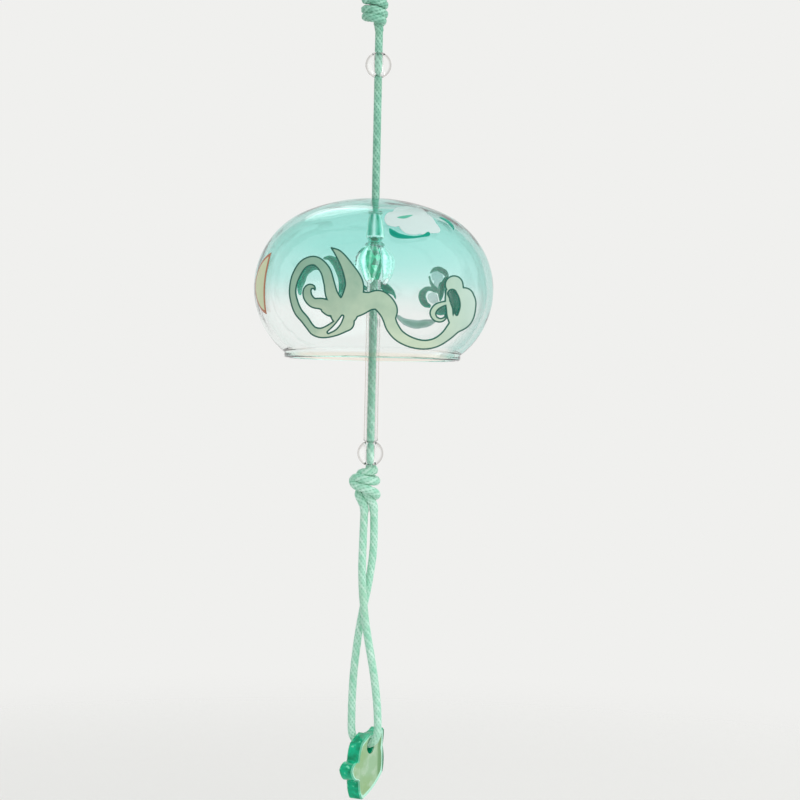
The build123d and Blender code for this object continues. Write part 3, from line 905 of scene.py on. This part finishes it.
def outerRadius(depth, steepest=0.999):
    # Radius and outward slope of the bell's outer side at depths below its top
    crown = bellShape["crownRadius"]
    atCrown = depth < crown - crown * math.cos(crownAngle)
    atShoulder = depth < bellShape["equatorDepth"]
    centreX, centreDepth, size = (np.where(atCrown, first, np.where(atShoulder, second, third))
                                  for first, second, third in zip(*arcs))
    up = np.clip((centreDepth - depth) / size, -steepest, steepest)
    out = np.sqrt(1 - up ** 2)
    return centreX + size * out, out, up


def castOnBell(flat, facing, farSide, rounds, least=1e-8):
    # Places and normals on the bell where lines from the viewer through the drawing meet it
    distance, side = cameraSetup["distance"], 1.0 if farSide else -1.0
    eyeX, eyeDown = cameraSetup["right"], bellShape["top"] - cameraSetup["height"]
    if facing:
        eyeX, eyeDown = 0.0, bellShape["equatorDepth"]
    x, down = flat[:, 0] * mm, flat[:, 1] * mm
    y = np.zeros(len(flat))
    for _ in range(rounds):
        share = (y + distance) / distance
        px = eyeX + (x - eyeX) * share
        depth = eyeDown + (down - eyeDown) * share
        radius, out, up = outerRadius(depth)
        y = 0.5 * y + 0.5 * side * np.sqrt(np.maximum(radius ** 2 - px ** 2, least))
    spots = np.stack([px, y, bellShape["top"] - depth], 1)
    around = np.stack([px, y], 1) / np.hypot(px, y)[:, None]
    normals = np.stack([around[:, 0] * out, around[:, 1] * out, up], 1)
    turn = np.array(Matrix.Rotation(math.radians(facing), 3, "Z"))
    return spots @ turn.T, normals @ turn.T


def addFilm(name, strokes, cuts, looks, facing=0.0, farSide=False, build=filmBuild):
    flat, faces = fillShape(strokes, cuts, build)
    spots, normals = castOnBell(flat, facing, farSide, build["castRounds"])
    under = spots + normals * build["lift"]
    over = spots + normals * (build["lift"] + build["thickness"])
    count = len(flat)
    if not farSide:
        faces = [tuple(reversed(face)) for face in faces]
    top = [tuple(i + count for i in face) for face in faces]
    bottom = [tuple(reversed(face)) for face in faces]
    edges = dict.fromkeys(pair for face in faces for pair in zip(face, face[1:] + face[:1]))
    walls = [(i, k, k + count, i + count) for i, k in edges if (k, i) not in edges]
    slots = [0] * len(top) + [1] * (len(bottom) + len(walls))
    piece = addPiece(name, np.concatenate([under, over]), top + bottom + walls, looks, "bell",
                     slots)
    storeValue(piece, "paintDepth", np.concatenate([flat[:, 2], flat[:, 2]]))


enamelFinish = {
    "fall": (26 * mm, 50 * mm),
    "mottle": ((150.0, 3.0, 0.55), (0.3, 0.7), (-0.18, 0.18)),
    "paleSide": (18 * mm, 36 * mm),
    "glowPatches": ((75.0, 1.0, 0.5), (0.52, 0.72), (0.0, 0.5)),
    "lineBlend": (0.06, 0.08),
    "rough": ((420.0, 2.0, 0.5), (0.3, 0.7), (0.28, 0.42)),
    "specular": 0.3,
    "grain": (600.0, 2.0, 0.5),
    "bump": (0.2, 0.1 * mm),
}
cloudPaint = {
    "low": plainColor(142, 178, 156),
    "high": plainColor(206, 224, 198),
    "pale": plainColor(190, 215, 205),
    "glow": plainColor(136, 186, 164),
    "line": plainColor(34, 98, 84),
    "lineWidth": 0.5,
}
creamPaint = {
    "low": plainColor(206, 218, 176),
    "high": plainColor(206, 218, 176),
    "pale": plainColor(206, 218, 176),
    "glow": plainColor(226, 196, 160),
    "line": plainColor(176, 104, 66),
    "lineWidth": 1.1,
}
underFinish = {
    "patches": ((110.0, 2.0, 0.5), (0.3, 0.75), (0.0, 0.35)),
    "edge": (0.1, 1.0, 0.65, 0.0),
    "rough": (0.0, 0.35, 0.3, 0.4),
    "specular": 0.1,
    "fade": (0.12, 0.85),
    "fadeHeight": 6 * mm,
}
underPaints = {
    "enamelUnderside": (plainColor(0, 138, 114), plainColor(20, 186, 154)),
    "silverEnamel": (plainColor(208, 226, 224), plainColor(208, 226, 224)),
    "shadeEnamel": (plainColor(0, 122, 104), plainColor(24, 160, 136)),
    "dashEnamel": (plainColor(40, 156, 128), plainColor(104, 190, 166)),
    "pearlEnamel": (plainColor(250, 255, 255), plainColor(250, 255, 255)),
    "bandUnderside": (plainColor(128, 190, 168), plainColor(208, 226, 224)),
    "creamUnderside": (plainColor(226, 196, 160), plainColor(176, 104, 66)),
}


def enamelMaterial(name, paint, finish=enamelFinish):
    # A fill that pales downwards and to the right, with a darker line along the stroke's edge
    material, tree, shader = startMaterial(name)
    place = objectPlace(tree)
    x, z = axisOf(tree, place, "X"), axisOf(tree, place, "Z")
    start, end = finish["fall"]
    down = span(tree, z, bellShape["top"] - start, bellShape["top"] - end)
    mottled = mathNode(tree, "ADD", down, clouds(tree, place, finish["mottle"]), clamp=True)
    fill = mixColor(tree, mottled, paint["low"], paint["high"])
    fill = mixColor(tree, span(tree, x, *finish["paleSide"]), fill, paint["pale"])
    fill = mixColor(tree, clouds(tree, place, finish["glowPatches"], smooth=True), fill, paint["glow"])
    before, after = finish["lineBlend"]
    width = paint["lineWidth"]
    drawn = span(tree, attribute(tree, "paintDepth"), width - before, width + after)
    feed(tree, shader, {
        "Base Color": mixColor(tree, drawn, paint["line"], fill),
        "Roughness": clouds(tree, place, finish["rough"]),
        "Specular IOR Level": finish["specular"],
        "Normal": bump(tree, noiseNode(tree, *finish["grain"], place), *finish["bump"]),
    })
    return material


def underMaterial(name, fadeFrom=None, alpha=1.0, finish=underFinish):
    # The paint's other side, deep at its middle and lighter along its edge
    material, tree, shader = startMaterial(name)
    place = objectPlace(tree)
    deep, light = underPaints[name]
    patches = clouds(tree, place, finish["patches"])
    edge = span(tree, attribute(tree, "paintDepth"), *finish["edge"])
    if fadeFrom is not None:
        start = bellShape["top"] - fadeFrom
        alpha = span(tree, axisOf(tree, place, "Z"), start, start - finish["fadeHeight"], *finish["fade"],
                     smooth=True)
    feed(tree, shader, {
        "Base Color": mixColor(tree, mathNode(tree, "ADD", patches, edge, clamp=True), deep, light),
        "Roughness": span(tree, patches, *finish["rough"]),
        "Specular IOR Level": finish["specular"],
        "Alpha": alpha,
    })
    return material


enamelLook = enamelMaterial("cloudEnamel", cloudPaint)
creamLook = enamelMaterial("creamEnamel", creamPaint)
underLook = underMaterial("enamelUnderside")
silverLook = underMaterial("silverEnamel", fadeFrom=2.5 * mm)
shadeLook = underMaterial("shadeEnamel")
dashLook = underMaterial("dashEnamel")
pearlLook = underMaterial("pearlEnamel", alpha=0.5)
bandLook = underMaterial("bandUnderside")
brownLook = underMaterial("creamUnderside")

addFilm("frontScroll", scrollStrokes, scrollCuts, [enamelLook, underLook])
addFilm("backScroll", backStrokes, [], [enamelLook, underLook], farSide=True)
addFilm("backKnob", knobStrokes, [], [enamelLook, underLook], farSide=True)
addFilm("backBalls", ballStrokes, knobStrokes, [pearlLook, pearlLook], farSide=True)
addFilm("backBand", bandStrokes, [], [enamelLook, bandLook], farSide=True)
addFilm("shoulderCloud", cloudStrokes, shadeStrokes[:2], [silverLook, silverLook])
addFilm("shoulderShade", [shadeStrokes[0], shadeStrokes[2]], [], [shadeLook, shadeLook])
addFilm("shoulderDash", shadeStrokes[1:2], [], [dashLook, dashLook])
addFilm("sideCloud", sideStrokes, [], [creamLook, brownLook], facing=-70.0)
print("scrolls are painted")


# Clear beads and tube, and the cut flower inside the bell
beadFinish = {
    "body": (0.99, 0.995, 0.99, 1.0),
    # The edge colour at grazing angles is painted shade, the thin dark rim that clear glass shows
    "edge": (0.34, 0.31, 0.29, 1.0),
    "grazing": (0.36, 0.58, 0.0, 0.9),
    "roughness": 0.0,
    "ior": 1.5,
    "specular": 0.3,
    "clear": 1.0,
    "waver": (240.0, 900.0, 0.3),
    "bump": (0.2, 0.2 * mm),
    "lampShare": 0.9,
}
tubeFinish = dict(
    beadFinish,
    body=(0.98, 0.99, 0.985, 1.0),
    # Its edge colour is painted shade as well
    edge=(0.50, 0.42, 0.37, 1.0),
    grazing=(0.38, 0.6, 0.0, 0.9),
    bump=(0.1, 0.2 * mm),
)
cutFinish = {
    "mottle": ((420.0, 2.0, 0.5), (0.3, 0.7), (-0.12, 0.12)),
    "grazing": (0.5, 1.0, 0.0, 0.8),
    "roughness": 0.02,
    "ior": 1.5,
    "specular": 0.25,
    "waver": (300.0, 1100.0, 0.3),
    "bump": (0.12, 0.2 * mm),
    "lampShare": 0.8,
}
# glowFrom and glow set the emission of the painted glints
calyxFinish = dict(
    cutFinish,
    deep=(0.0, 0.52, 0.36, 1.0),
    middle=(0.42, 0.94, 0.82, 1.0),
    bright=(1.0, 1.0, 1.0, 1.0),
    edge=(0.36, 0.72, 0.24, 1.0),
    clear=0.45,
    glowFrom=0.6,
    glow=0.2,
)
dropFinish = dict(
    cutFinish,
    deep=(0.0, 0.24, 0.13, 1.0),
    middle=(0.0, 0.60, 0.33, 1.0),
    bright=(0.90, 1.0, 0.96, 1.0),
    edge=(0.0, 0.42, 0.25, 1.0),
    clear=0.05,
    glowFrom=-0.4,
    glow=0.42,
)
petalFinish = dict(
    cutFinish,
    deep=(0.02, 0.50, 0.34, 1.0),
    middle=(0.72, 0.98, 0.92, 1.0),
    bright=(1.0, 1.0, 1.0, 1.0),
    edge=(0.66, 0.94, 0.87, 1.0),
    ior=1.35,
    clear=1.0,
    glowFrom=0.7,
    glow=0.14,
)


def glassMaterial(name, finish):
    material, tree, shader = startMaterial(name)
    # Painted shade: darker towards the grazing edge
    grazing = span(tree, facingRatio(tree), *finish["grazing"])
    finishGlass(tree, shader, finish, mixColor(tree, grazing, finish["body"], finish["edge"]))
    return material


def cutGlassMaterial(name, finish):
    # Glass whose facets or flutes differ in depth of colour, by the value that its mesh carries, which
    # paints the light and shade that its cuts catch. Its brighter ones are given emission, a painted
    # glint that glows though it is no lamp, and its edge at grazing angles takes a painted shade.
    material, tree, shader = startMaterial(name)
    mottle = clouds(tree, objectPlace(tree), finish["mottle"])
    tone = mathNode(tree, "ADD", attribute(tree, "cutTone"), mottle, clamp=True)
    color = mixColor(tree, span(tree, tone, 0.0, 0.5), finish["deep"], finish["middle"])
    color = mixColor(tree, span(tree, tone, 0.5, 1.0), color, finish["bright"])
    # Painted glint: emission on the brightest tones
    glint = span(tree, tone, finish["glowFrom"], 1.0, smooth=True)
    feed(tree, shader, {
        "Emission Color": mixColor(tree, glint, (0.0, 0.0, 0.0, 1.0), color),
        "Emission Strength": finish["glow"],
    })
    # Painted shade towards the grazing edge
    grazing = span(tree, facingRatio(tree), *finish["grazing"])
    finishGlass(tree, shader, finish, mixColor(tree, grazing, color, finish["edge"]))
    return material


clearLook = glassMaterial("clearGlass", beadFinish)
tubeLook = glassMaterial("tubeGlass", tubeFinish)
calyxLook = cutGlassMaterial("calyxGlass", calyxFinish)
dropLook = cutGlassMaterial("dropGlass", dropFinish)
petalLook = cutGlassMaterial("petalGlass", petalFinish)


beadShape = {
    "radius": 4.4 * mm,
    "bore": 1.55 * mm,
    "edgeBreak": 0.2 * mm,
    "segments": 72,
    "steps": 40,
}


def addBead(name, node, body, height, shape):
    radius, bore, edge = shape["radius"], shape["bore"], shape["edgeBreak"]
    start = math.degrees(math.asin((bore + edge) / radius))
    outer = arcPoints((0, height), radius, start, 180 - start, shape["steps"])
    reach = math.sqrt(radius ** 2 - (bore + edge) ** 2) - edge
    inner = [(bore, height + reach * k / 2) for k in range(-2, 3)]
    verts, faces = spin(joinProfile(outer, inner), shape["segments"])
    piece = addPiece(name, verts, faces, [clearLook], body)
    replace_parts(piece, node)


for name, node, body in (("topBead", "top_bead", "line"), ("lowerBead", "lower_bead", "clapper")):
    low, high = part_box(node)
    addBead(name, node, body, (low.z + high.z) / 2, beadShape)

tubeShape = {
    "radius": 2.35 * mm,
    "bore": 1.65 * mm,
    "edge": 0.25 * mm,
    "segments": 64,
    "steps": 30,
    "edgeSteps": 4,
}


def addTube(shape):
    low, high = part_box("clapper_tube")
    outer, bore, edge = shape["radius"], shape["bore"], shape["edge"]
    steps, turns = shape["steps"], shape["edgeSteps"]
    profile = joinProfile(
        arcPoints((outer - edge, high.z - edge), edge, 0, 90, turns),
        [(outer, high.z + (low.z - high.z) * k / steps) for k in range(1, steps)],
        arcPoints((outer - edge, low.z + edge), edge, 90, 180, turns),
        arcPoints((bore + edge, low.z + edge), edge, 180, 270, turns),
        [(bore, low.z + (high.z - low.z) * k / steps) for k in range(1, steps)],
        arcPoints((bore + edge, high.z - edge), edge, 270, 360, turns),
    )
    verts, faces = spin(profile, shape["segments"])
    piece = addPiece("clapperTube", verts, faces, [tubeLook], "clapper")
    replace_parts(piece, "clapper_tube")


addTube(tubeShape)
print("beads and tube are in place")

calyxShape = {
    "length": 10.5,
    "rim": 3.25,
    "collar": 2.45,
    "collarHeight": 1.7,
    "collarTurn": 170,
    "bore": 1.55,
    "seat": 2.8,
    "swell": 0.35,
    "flutes": 6,
    "fluteDepth": 0.24,
    "segments": 96,
    "arcSteps": 10,
    "sideSteps": 24,
    "boreSteps": 6,
    # Tones: the collar's own colour, and a painted highlight on the foot
    "collarTone": 0.3,
    "footHighlightTone": 1.0,
    "footHeight": 0.5,
    "toneLag": 0.6,
}


def fromSeat(verts):
    # Millimetres from the seat's centre as metres from the hook
    return [(x * mm, y * mm, seatPivot.z + z * mm) for x, y, z in verts]


def addCalyx(shape):
    # Profile in millimetres from the seat's centre, turned with flutes that deepen towards the rim
    top, bore, seat = shape["length"], shape["bore"], shape["seat"]
    throat, half = math.sqrt(seat ** 2 - bore ** 2), shape["collarHeight"] / 2
    outer = arcPoints((shape["collar"] - half, top - half), half, 0, shape["collarTurn"],
                      shape["arcSteps"])
    foot = outer[-1]
    sides = []
    for k in range(1, shape["sideSteps"] + 1):
        share = k / shape["sideSteps"]
        swell = shape["swell"] * math.sin(math.pi * share)
        sides.append((foot[0] + (shape["rim"] - foot[0]) * share + swell, foot[1] * (1 - share)))
    under = arcPoints((0, 0), seat, 90, math.degrees(math.asin(bore / seat)), shape["arcSteps"])
    steps = shape["boreSteps"]
    inside = [(bore, throat + (top - throat) * k / steps) for k in range(steps + 1)]
    profile = joinProfile(outer, sides, under, inside)
    first, last = len(outer), len(outer) + len(sides)

    def flute(angle, j):
        if not first <= j < last:
            return 0.0
        share = (j - first) / (last - first)
        return -shape["fluteDepth"] * share * (0.5 + 0.5 * math.cos(shape["flutes"] * angle)) ** 2

    segments = shape["segments"]
    verts, faces = spin(profile, segments, flute)
    piece = addPiece("calyxBead", fromSeat(verts), faces, [calyxLook], "stopper")
    # Painted light and shade across the flutes, and a painted highlight on the foot
    tones = []
    for i in range(segments):
        wave = 0.5 - 0.5 * math.cos(shape["flutes"] * 2 * math.pi * i / segments + shape["toneLag"])
        for _, height in profile:
            if height > foot[1]:
                tones.append(shape["collarTone"])
            else:
                tones.append(shape["footHighlightTone"] if height < shape["footHeight"] else wave)
    storeValue(piece, "cutTone", tones)
    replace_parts(piece, "calyx_bead")


addCalyx(calyxShape)

cupShape = {
    "ball": 2.5,
    "bore": 1.55,
    "cordRadius": 1.35,
    "bare": math.radians(34),
    "ballSteps": 14,
    "neck": 3.55,
    "neckFoot": [(0.45, -0.5), (0.2, -1.35)],
    "boreFoot": -1.05,
    "neckSegments": 72,
    "neckTone": 0.3,
    "wall": 0.85,
}
petalShape = {
    "count": 5,
    "rows": 34,
    "columns": 16,
    "length": 16.0,
    "overlap": 0.35,
    "widest": 7.0,
    "widestAt": 0.45,
    "closing": 0.75,
    "fullness": 0.92,
    "openFrom": 0.42,
    "openShare": 0.45,
    "openPower": 1.2,
    "tipFrom": 0.86,
    "tipWidth": 0.08,
    "arch": 0.35,
    "thinning": 0.35,
    "ribs": 9,
    "ribHeight": 0.05,
    "ribRise": 4,
    "cutPetal": 4,
    "cutHeight": 0.16,
    "cutFrom": 0.5,
}
# Petal tones: painted highlights in streaks across the petals and at their tips, and a darker dash on one
# petal
petalTones = {
    "middle": 0.74,
    "spread": 0.34,
    "across": 3.1 * math.pi,
    "perPetal": 1.7,
    "down": 2.0,
    "tip": 0.2,
    "tipFrom": 0.3,
    "dash": 0.1,
    "dashedPetal": 2,
    "dashFrom": 0.10,
    "dashTo": 0.24,
}


def addNeck(shape):
    # The ball that swings in the calyx, with a cone below its bore for the cord, and the neck under it
    bore, ball, bare = shape["bore"], shape["ball"], shape["bare"]
    flareX, flareZ = shape["neck"] * math.cos(bare), -shape["neck"] * math.sin(bare)
    coneDepth = shape["cordRadius"] * math.sin(bare)
    lead = bore * math.sin(bare) - coneDepth * math.cos(bare)
    coneSide = math.sqrt(lead ** 2 - bore ** 2 - coneDepth ** 2 + ball ** 2) - lead
    edgeX, edgeZ = bore + coneSide * math.sin(bare), coneSide * math.cos(bare) - coneDepth
    start = math.degrees(math.atan2(edgeX, edgeZ))
    profile = joinProfile(
        arcPoints((0, 0), ball, start, 90 + math.degrees(bare), shape["ballSteps"]),
        [(flareX, flareZ)],
        [(flareX + out, flareZ + up) for out, up in shape["neckFoot"]],
        [(bore, flareZ + shape["boreFoot"]), (bore, -coneDepth)],
    )
    verts, faces = spin(profile, shape["neckSegments"])
    return verts, faces, [shape["neckTone"]] * len(verts), (flareX, flareZ)


def beyond(share, start):
    return max(0.0, (share - start) / (1 - start))


def petalPoint(petal, share, across, depthIn, wall, flare, shape, tones):
    # A place on one petal, by its share of the length, its way across and its depth in the glass
    flareX, flareZ = flare
    depth = flareZ - shape["overlap"] + (shape["overlap"] - shape["length"] - flareZ) * share
    if share < shape["widestAt"]:
        bulge = math.sin(math.pi * 0.5 * share / shape["widestAt"])
    else:
        bulge = math.sin(math.pi * (0.5 + 0.5 * (share - shape["widestAt"]) / shape["closing"]))
    opening, tip = beyond(share, shape["openFrom"]), beyond(share, shape["tipFrom"])
    half = shape["fullness"] - shape["openShare"] * opening ** shape["openPower"]
    half *= math.pi / shape["count"]
    half *= math.sqrt(max(0.0, 1 - tip ** 2)) * (1 - shape["tipWidth"]) + shape["tipWidth"]
    angle = 2 * math.pi * (petal + 0.5) / shape["count"] + half * across
    cut = petal == shape["cutPetal"] and share > shape["cutFrom"]
    rib = math.sin(share * math.pi * 2 * shape["ribs"])
    rib *= shape["cutHeight"] if cut else shape["ribHeight"]
    rib *= (1 - depthIn / wall) * (1 - across ** 2) * min(1.0, share * shape["ribRise"])
    arch = shape["arch"] * (1 - across ** 2) * opening
    edge = shape["thinning"] * wall * across ** 4 * (1 if depthIn else -1)
    reach = flareX + (shape["widest"] - flareX) * bulge + arch + rib - depthIn + edge
    place = (reach * math.cos(angle), reach * math.sin(angle), depth)
    if petal == tones["dashedPetal"] and tones["dashFrom"] < share < tones["dashTo"]:
        return place, tones["dash"]
    # Painted highlight streaks and brighter tips
    streak = math.sin(tones["across"] * across + tones["perPetal"] * petal + tones["down"] * share)
    tone = tones["middle"] + tones["spread"] * streak + (tones["tip"] if tip > tones["tipFrom"] else 0.0)
    return place, min(1.0, tone)


def leafFaces(base, rows, columns):
    # Two sheets of points, outer and inner, and the four edges between them
    row = columns + 1
    sheet = (rows + 1) * row
    faces = []
    for i in range(rows):
        for j in range(columns):
            a = base + i * row + j
            b = a + sheet
            faces += [(a, a + row, a + row + 1, a + 1), (b, b + 1, b + row + 1, b + row)]
    downs = [(i * row + j, row, j > 0) for i in range(rows) for j in (0, columns)]
    overs = [(i * row + j, 1, i == 0) for j in range(columns) for i in (0, rows)]
    for corner, step, flip in downs + overs:
        a = base + corner
        quad = (a, a + sheet, a + sheet + step, a + step)
        faces.append(quad[::-1] if flip else quad)
    return faces


def addPetalCup(cup, shape, toneSetup):
    # A ball and neck, then separate curved petals, each a closed leaf of glass
    verts, faces, tones, flare = addNeck(cup)
    rows, columns = shape["rows"], shape["columns"]
    for petal in range(shape["count"]):
        faces += leafFaces(len(verts), rows, columns)
        for depthIn in (0.0, cup["wall"]):
            for i in range(rows + 1):
                for j in range(columns + 1):
                    place, tone = petalPoint(petal, i / rows, 2 * j / columns - 1, depthIn, cup["wall"],
                                             flare, shape, toneSetup)
                    verts.append(place)
                    tones.append(tone)
    piece = addPiece("petalCup", fromSeat(verts), faces, [petalLook], "clapper")
    storeValue(piece, "cutTone", tones)
    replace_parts(piece, "petal_cup")


addPetalCup(cupShape, petalShape, petalTones)

dropShape = {
    "facets": 8,
    "bore": 1.5 * mm,
    "rows": [(0.0, 2.1), (0.13, 2.65), (0.32, 3.0), (0.56, 2.8), (0.8, 2.3), (1.0, 1.8)],
    # Facet tones: painted highlight on the left, painted shade on the right, with a random spread
    "shadeToneRight": 0.2,
    "highlightToneLeft": 0.66,
    "toneReach": 2 * mm,
    "toneSpread": 0.42,
}


def addDrop(shape):
    # Facets in staggered rows, so that each is a triangle
    low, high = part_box("crystal_drop")
    verts, faces = [], []
    count = shape["facets"]

    def addRing(radius, height, lead=0.0):
        for k in range(count):
            angle = 2 * math.pi * (k + lead) / count
            verts.append((radius * math.cos(angle), radius * math.sin(angle), height))

    for row, (share, radius) in enumerate(shape["rows"]):
        addRing(radius * mm, high.z + (low.z - high.z) * share, 0.5 if row % 2 else 0.0)
    addRing(shape["bore"], high.z)
    addRing(shape["bore"], low.z)
    last = (len(shape["rows"]) - 1) * count
    boreTop, boreFoot = last + count, last + 2 * count
    for row in range(len(shape["rows"]) - 1):
        for k in range(count):
            n = (k + 1) % count
            a, b = row * count + k, row * count + n
            c, d = a + count, b + count
            faces += [(a, d, b), (a, c, d)] if row % 2 else [(a, c, b), (b, c, d)]
    for k in range(count):
        n = (k + 1) % count
        faces.append((k, n, boreTop + n, boreTop + k))
        faces.append((boreTop + k, boreTop + n, boreFoot + n, boreFoot + k))
        faces.append((last + k, boreFoot + k, boreFoot + n, last + n))
    piece = addPiece("crystalDrop", verts, faces, [dropLook], "clapper", smooth=False)
    # Each facet's tone is painted light and shade: highlights to the left, shade to the right, and random
    # from facet to facet for the glints and dark facets of its cuts
    tones = []
    for polygon in piece.data.polygons:
        toRight = max(-1.0, min(1.0, polygon.center.x / shape["toneReach"]))
        tone = shape["highlightToneLeft"] + (shape["shadeToneRight"] - shape["highlightToneLeft"]) * (0.5 + 0.5 * toRight)
        tones.append(tone + random.uniform(-shape["toneSpread"], shape["toneSpread"]))
    storeValue(piece, "cutTone", tones, domain="FACE")
    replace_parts(piece, "crystal_drop")


addDrop(dropShape)
print("flower is set in its calyx")


# Charm plate of translucent emerald acrylic, with a printed face
charmTurn = math.radians(62.0)
acrylicFinish = {
    "deep": plainColor(0, 146, 104),
    "body": plainColor(0, 196, 146),
    "bright": plainColor(120, 232, 190),
    "rim": plainColor(190, 244, 222),
    "farEdge": plainColor(58, 132, 98),
    "farSpan": (2.8 * mm, 2.4 * mm),
    "onFace": (0.6, 0.95),
    # Spots of the bright colour are painted glints
    "patches": ((260.0, 3.0, 0.6), (0.38, 0.62), (0.0, 1.0)),
    "glints": ((520.0, 2.0, 0.5), (0.64, 0.72), (0.0, 1.0)),
    "roughness": 0.08,
    "ior": 1.49,
    "specular": 0.2,
    "clear": 0.15,
    "waver": (300.0, 1400.0, 0.3),
    "bump": (0.2, 0.2 * mm),
    "lampShare": 0.5,
}
printFinish = {
    "body": plainColor(146, 184, 146),
    "warm": plainColor(138, 176, 124),
    "pale": plainColor(182, 208, 184),
    "farEdge": plainColor(96, 144, 92),
    "farSpan": (2.2 * mm, 0.8 * mm),
    "farShare": 0.9,
    "patches": ((90.0, 2.0, 0.5), (0.35, 0.65), (0.0, 1.0)),
    "streaks": ((210.0, 3.0, 0.5), (0.5, 0.75), (0.0, 1.0)),
    "rough": (0.32, 0.22),
    "specular": 0.3,
    "grain": (900.0, 2.0, 0.5),
    "bump": (0.15, 0.08 * mm),
}


def towardsFar(tree, place, box, farSpan, share=1.0):
    # Grows along the charm towards its far side, between two distances from that side
    far = box[1].y / math.sin(charmTurn)
    parts = [mathNode(tree, "MULTIPLY", axisOf(tree, place, name), turn)
             for name, turn in (("X", math.cos(charmTurn)), ("Y", math.sin(charmTurn)))]
    across = mathNode(tree, "ADD", *parts)
    return span(tree, across, far - farSpan[0], far - farSpan[1], 0.0, share)


def acrylicMaterial(finish):
    # Deep colour through its cut edges, and pale where the print leaves the front's rim bare, with a
    # dark end at the far side
    material, tree, shader = startMaterial("emeraldAcrylic")
    place = objectPlace(tree)
    toFace = tree.nodes.new("ShaderNodeVectorMath")
    toFace.operation = "DOT_PRODUCT"
    toFace.inputs[1].default_value = (math.sin(charmTurn), -math.cos(charmTurn), 0.0)
    tree.links.new(place.node.outputs["Normal"], toFace.inputs[0])
    onFace = span(tree, toFace.outputs["Value"], *finish["onFace"])
    color = mixColor(tree, clouds(tree, place, finish["patches"]), finish["deep"], finish["body"])
    # Painted glints
    color = mixColor(tree, clouds(tree, place, finish["glints"]), color, finish["bright"])
    atFar = towardsFar(tree, place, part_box("charm_slab"), finish["farSpan"])
    rim = mixColor(tree, atFar, finish["rim"], finish["farEdge"])
    finishGlass(tree, shader, finish, mixColor(tree, onFace, color, rim))
    return material


def printMaterial(finish):
    material, tree, shader = startMaterial("printedFace")
    place = objectPlace(tree)
    color = mixColor(tree, clouds(tree, place, finish["patches"]), finish["warm"], finish["body"])
    streaks = clouds(tree, place, finish["streaks"])
    color = mixColor(tree, streaks, color, finish["pale"])
    atFar = towardsFar(tree, place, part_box("charm_face"), finish["farSpan"], finish["farShare"])
    feed(tree, shader, {
        "Base Color": mixColor(tree, atFar, color, finish["farEdge"]),
        "Roughness": span(tree, streaks, 0.0, 1.0, *finish["rough"]),
        "Specular IOR Level": finish["specular"],
        "Normal": bump(tree, noiseNode(tree, *finish["grain"], place), *finish["bump"]),
    })
    return material


def dressNode(node, material):
    target = frame["nodes"][node]
    target.data.materials.clear()
    target.data.materials.append(material)


dressNode("charm_slab", acrylicMaterial(acrylicFinish))
dressNode("charm_face", printMaterial(printFinish))
print("charm is finished")


# Studio: a pale world, a floor that fades out, and soft lamps
studio = {
    "background": plainColor(240, 240, 238),
    "ambient": 0.84,
    "floorHeight": cadBox[0].z - 0.03,
    "floorRadius": 0.5,
    "floorSides": 72,
    "floorColor": plainColor(236, 236, 235),
    "floorRoughness": 0.9,
    "fadeMargins": (0.02, 0.01),
    "aim": (0, 0, bellShape["top"] - 0.03),
    "lamps": [
        {"name": "key", "at": (0.95, -0.8, 0.5), "size": 2.8, "power": 18.0, "reflected": False},
        {"name": "back", "at": (-0.25, 0.75, 0.7), "size": 0.5, "power": 0.6, "reflected": True},
    ],
}


def addWorld(setup):
    world = bpy.data.worlds.new("studio")
    bpy.context.scene.world = world
    world.use_nodes = True
    tree = world.node_tree
    back = tree.nodes["Background"]
    path = tree.nodes.new("ShaderNodeLightPath")
    seen = mathNode(tree, "MAXIMUM", path.outputs["Is Camera Ray"], path.outputs["Is Glossy Ray"])
    seen = mathNode(tree, "MAXIMUM", seen, path.outputs["Is Transmission Ray"])
    strength = span(tree, seen, 0, 1, setup["ambient"], 1.0)
    feed(tree, back, {"Strength": strength, "Color": setup["background"]})


def addFloor(setup):
    radius, height, sides = setup["floorRadius"], setup["floorHeight"], setup["floorSides"]
    turns = [2 * math.pi * k / sides for k in range(sides)]
    verts = [(radius * math.cos(turn), radius * math.sin(turn), height) for turn in turns]
    mesh = bpy.data.meshes.new("floor")
    mesh.from_pydata(verts, [], [range(sides)])
    material, tree, shader = startMaterial("paleFloor")
    length = tree.nodes.new("ShaderNodeVectorMath")
    length.operation = "LENGTH"
    tree.links.new(objectPlace(tree), length.inputs[0])
    start, end = setup["fadeMargins"]
    fade = span(tree, length.outputs["Value"], abs(height) + start, math.hypot(height, radius) - end,
                1.0, 0.0, smooth=True)
    feed(tree, shader, {"Base Color": setup["floorColor"], "Roughness": setup["floorRoughness"],
                        "Alpha": fade})
    mesh.materials.append(material)
    floor = bpy.data.objects.new("floor", mesh)
    bpy.context.collection.objects.link(floor)


def addLamps(setup):
    for lamp in setup["lamps"]:
        data = bpy.data.lights.new(lamp["name"], "AREA")
        data.shape = "DISK"
        data.size = lamp["size"]
        data.energy = lamp["power"]
        holder = bpy.data.objects.new(lamp["name"], data)
        holder.visible_glossy = lamp["reflected"]
        bpy.context.collection.objects.link(holder)
        holder.location = lamp["at"]
        toBell = Vector(setup["aim"]) - Vector(lamp["at"])
        holder.rotation_euler = toBell.to_track_quat("-Z", "Y").to_euler()


addWorld(studio)
addFloor(studio)
addLamps(studio)
bpy.context.scene.view_settings.view_transform = "Standard"
print("studio is lit")
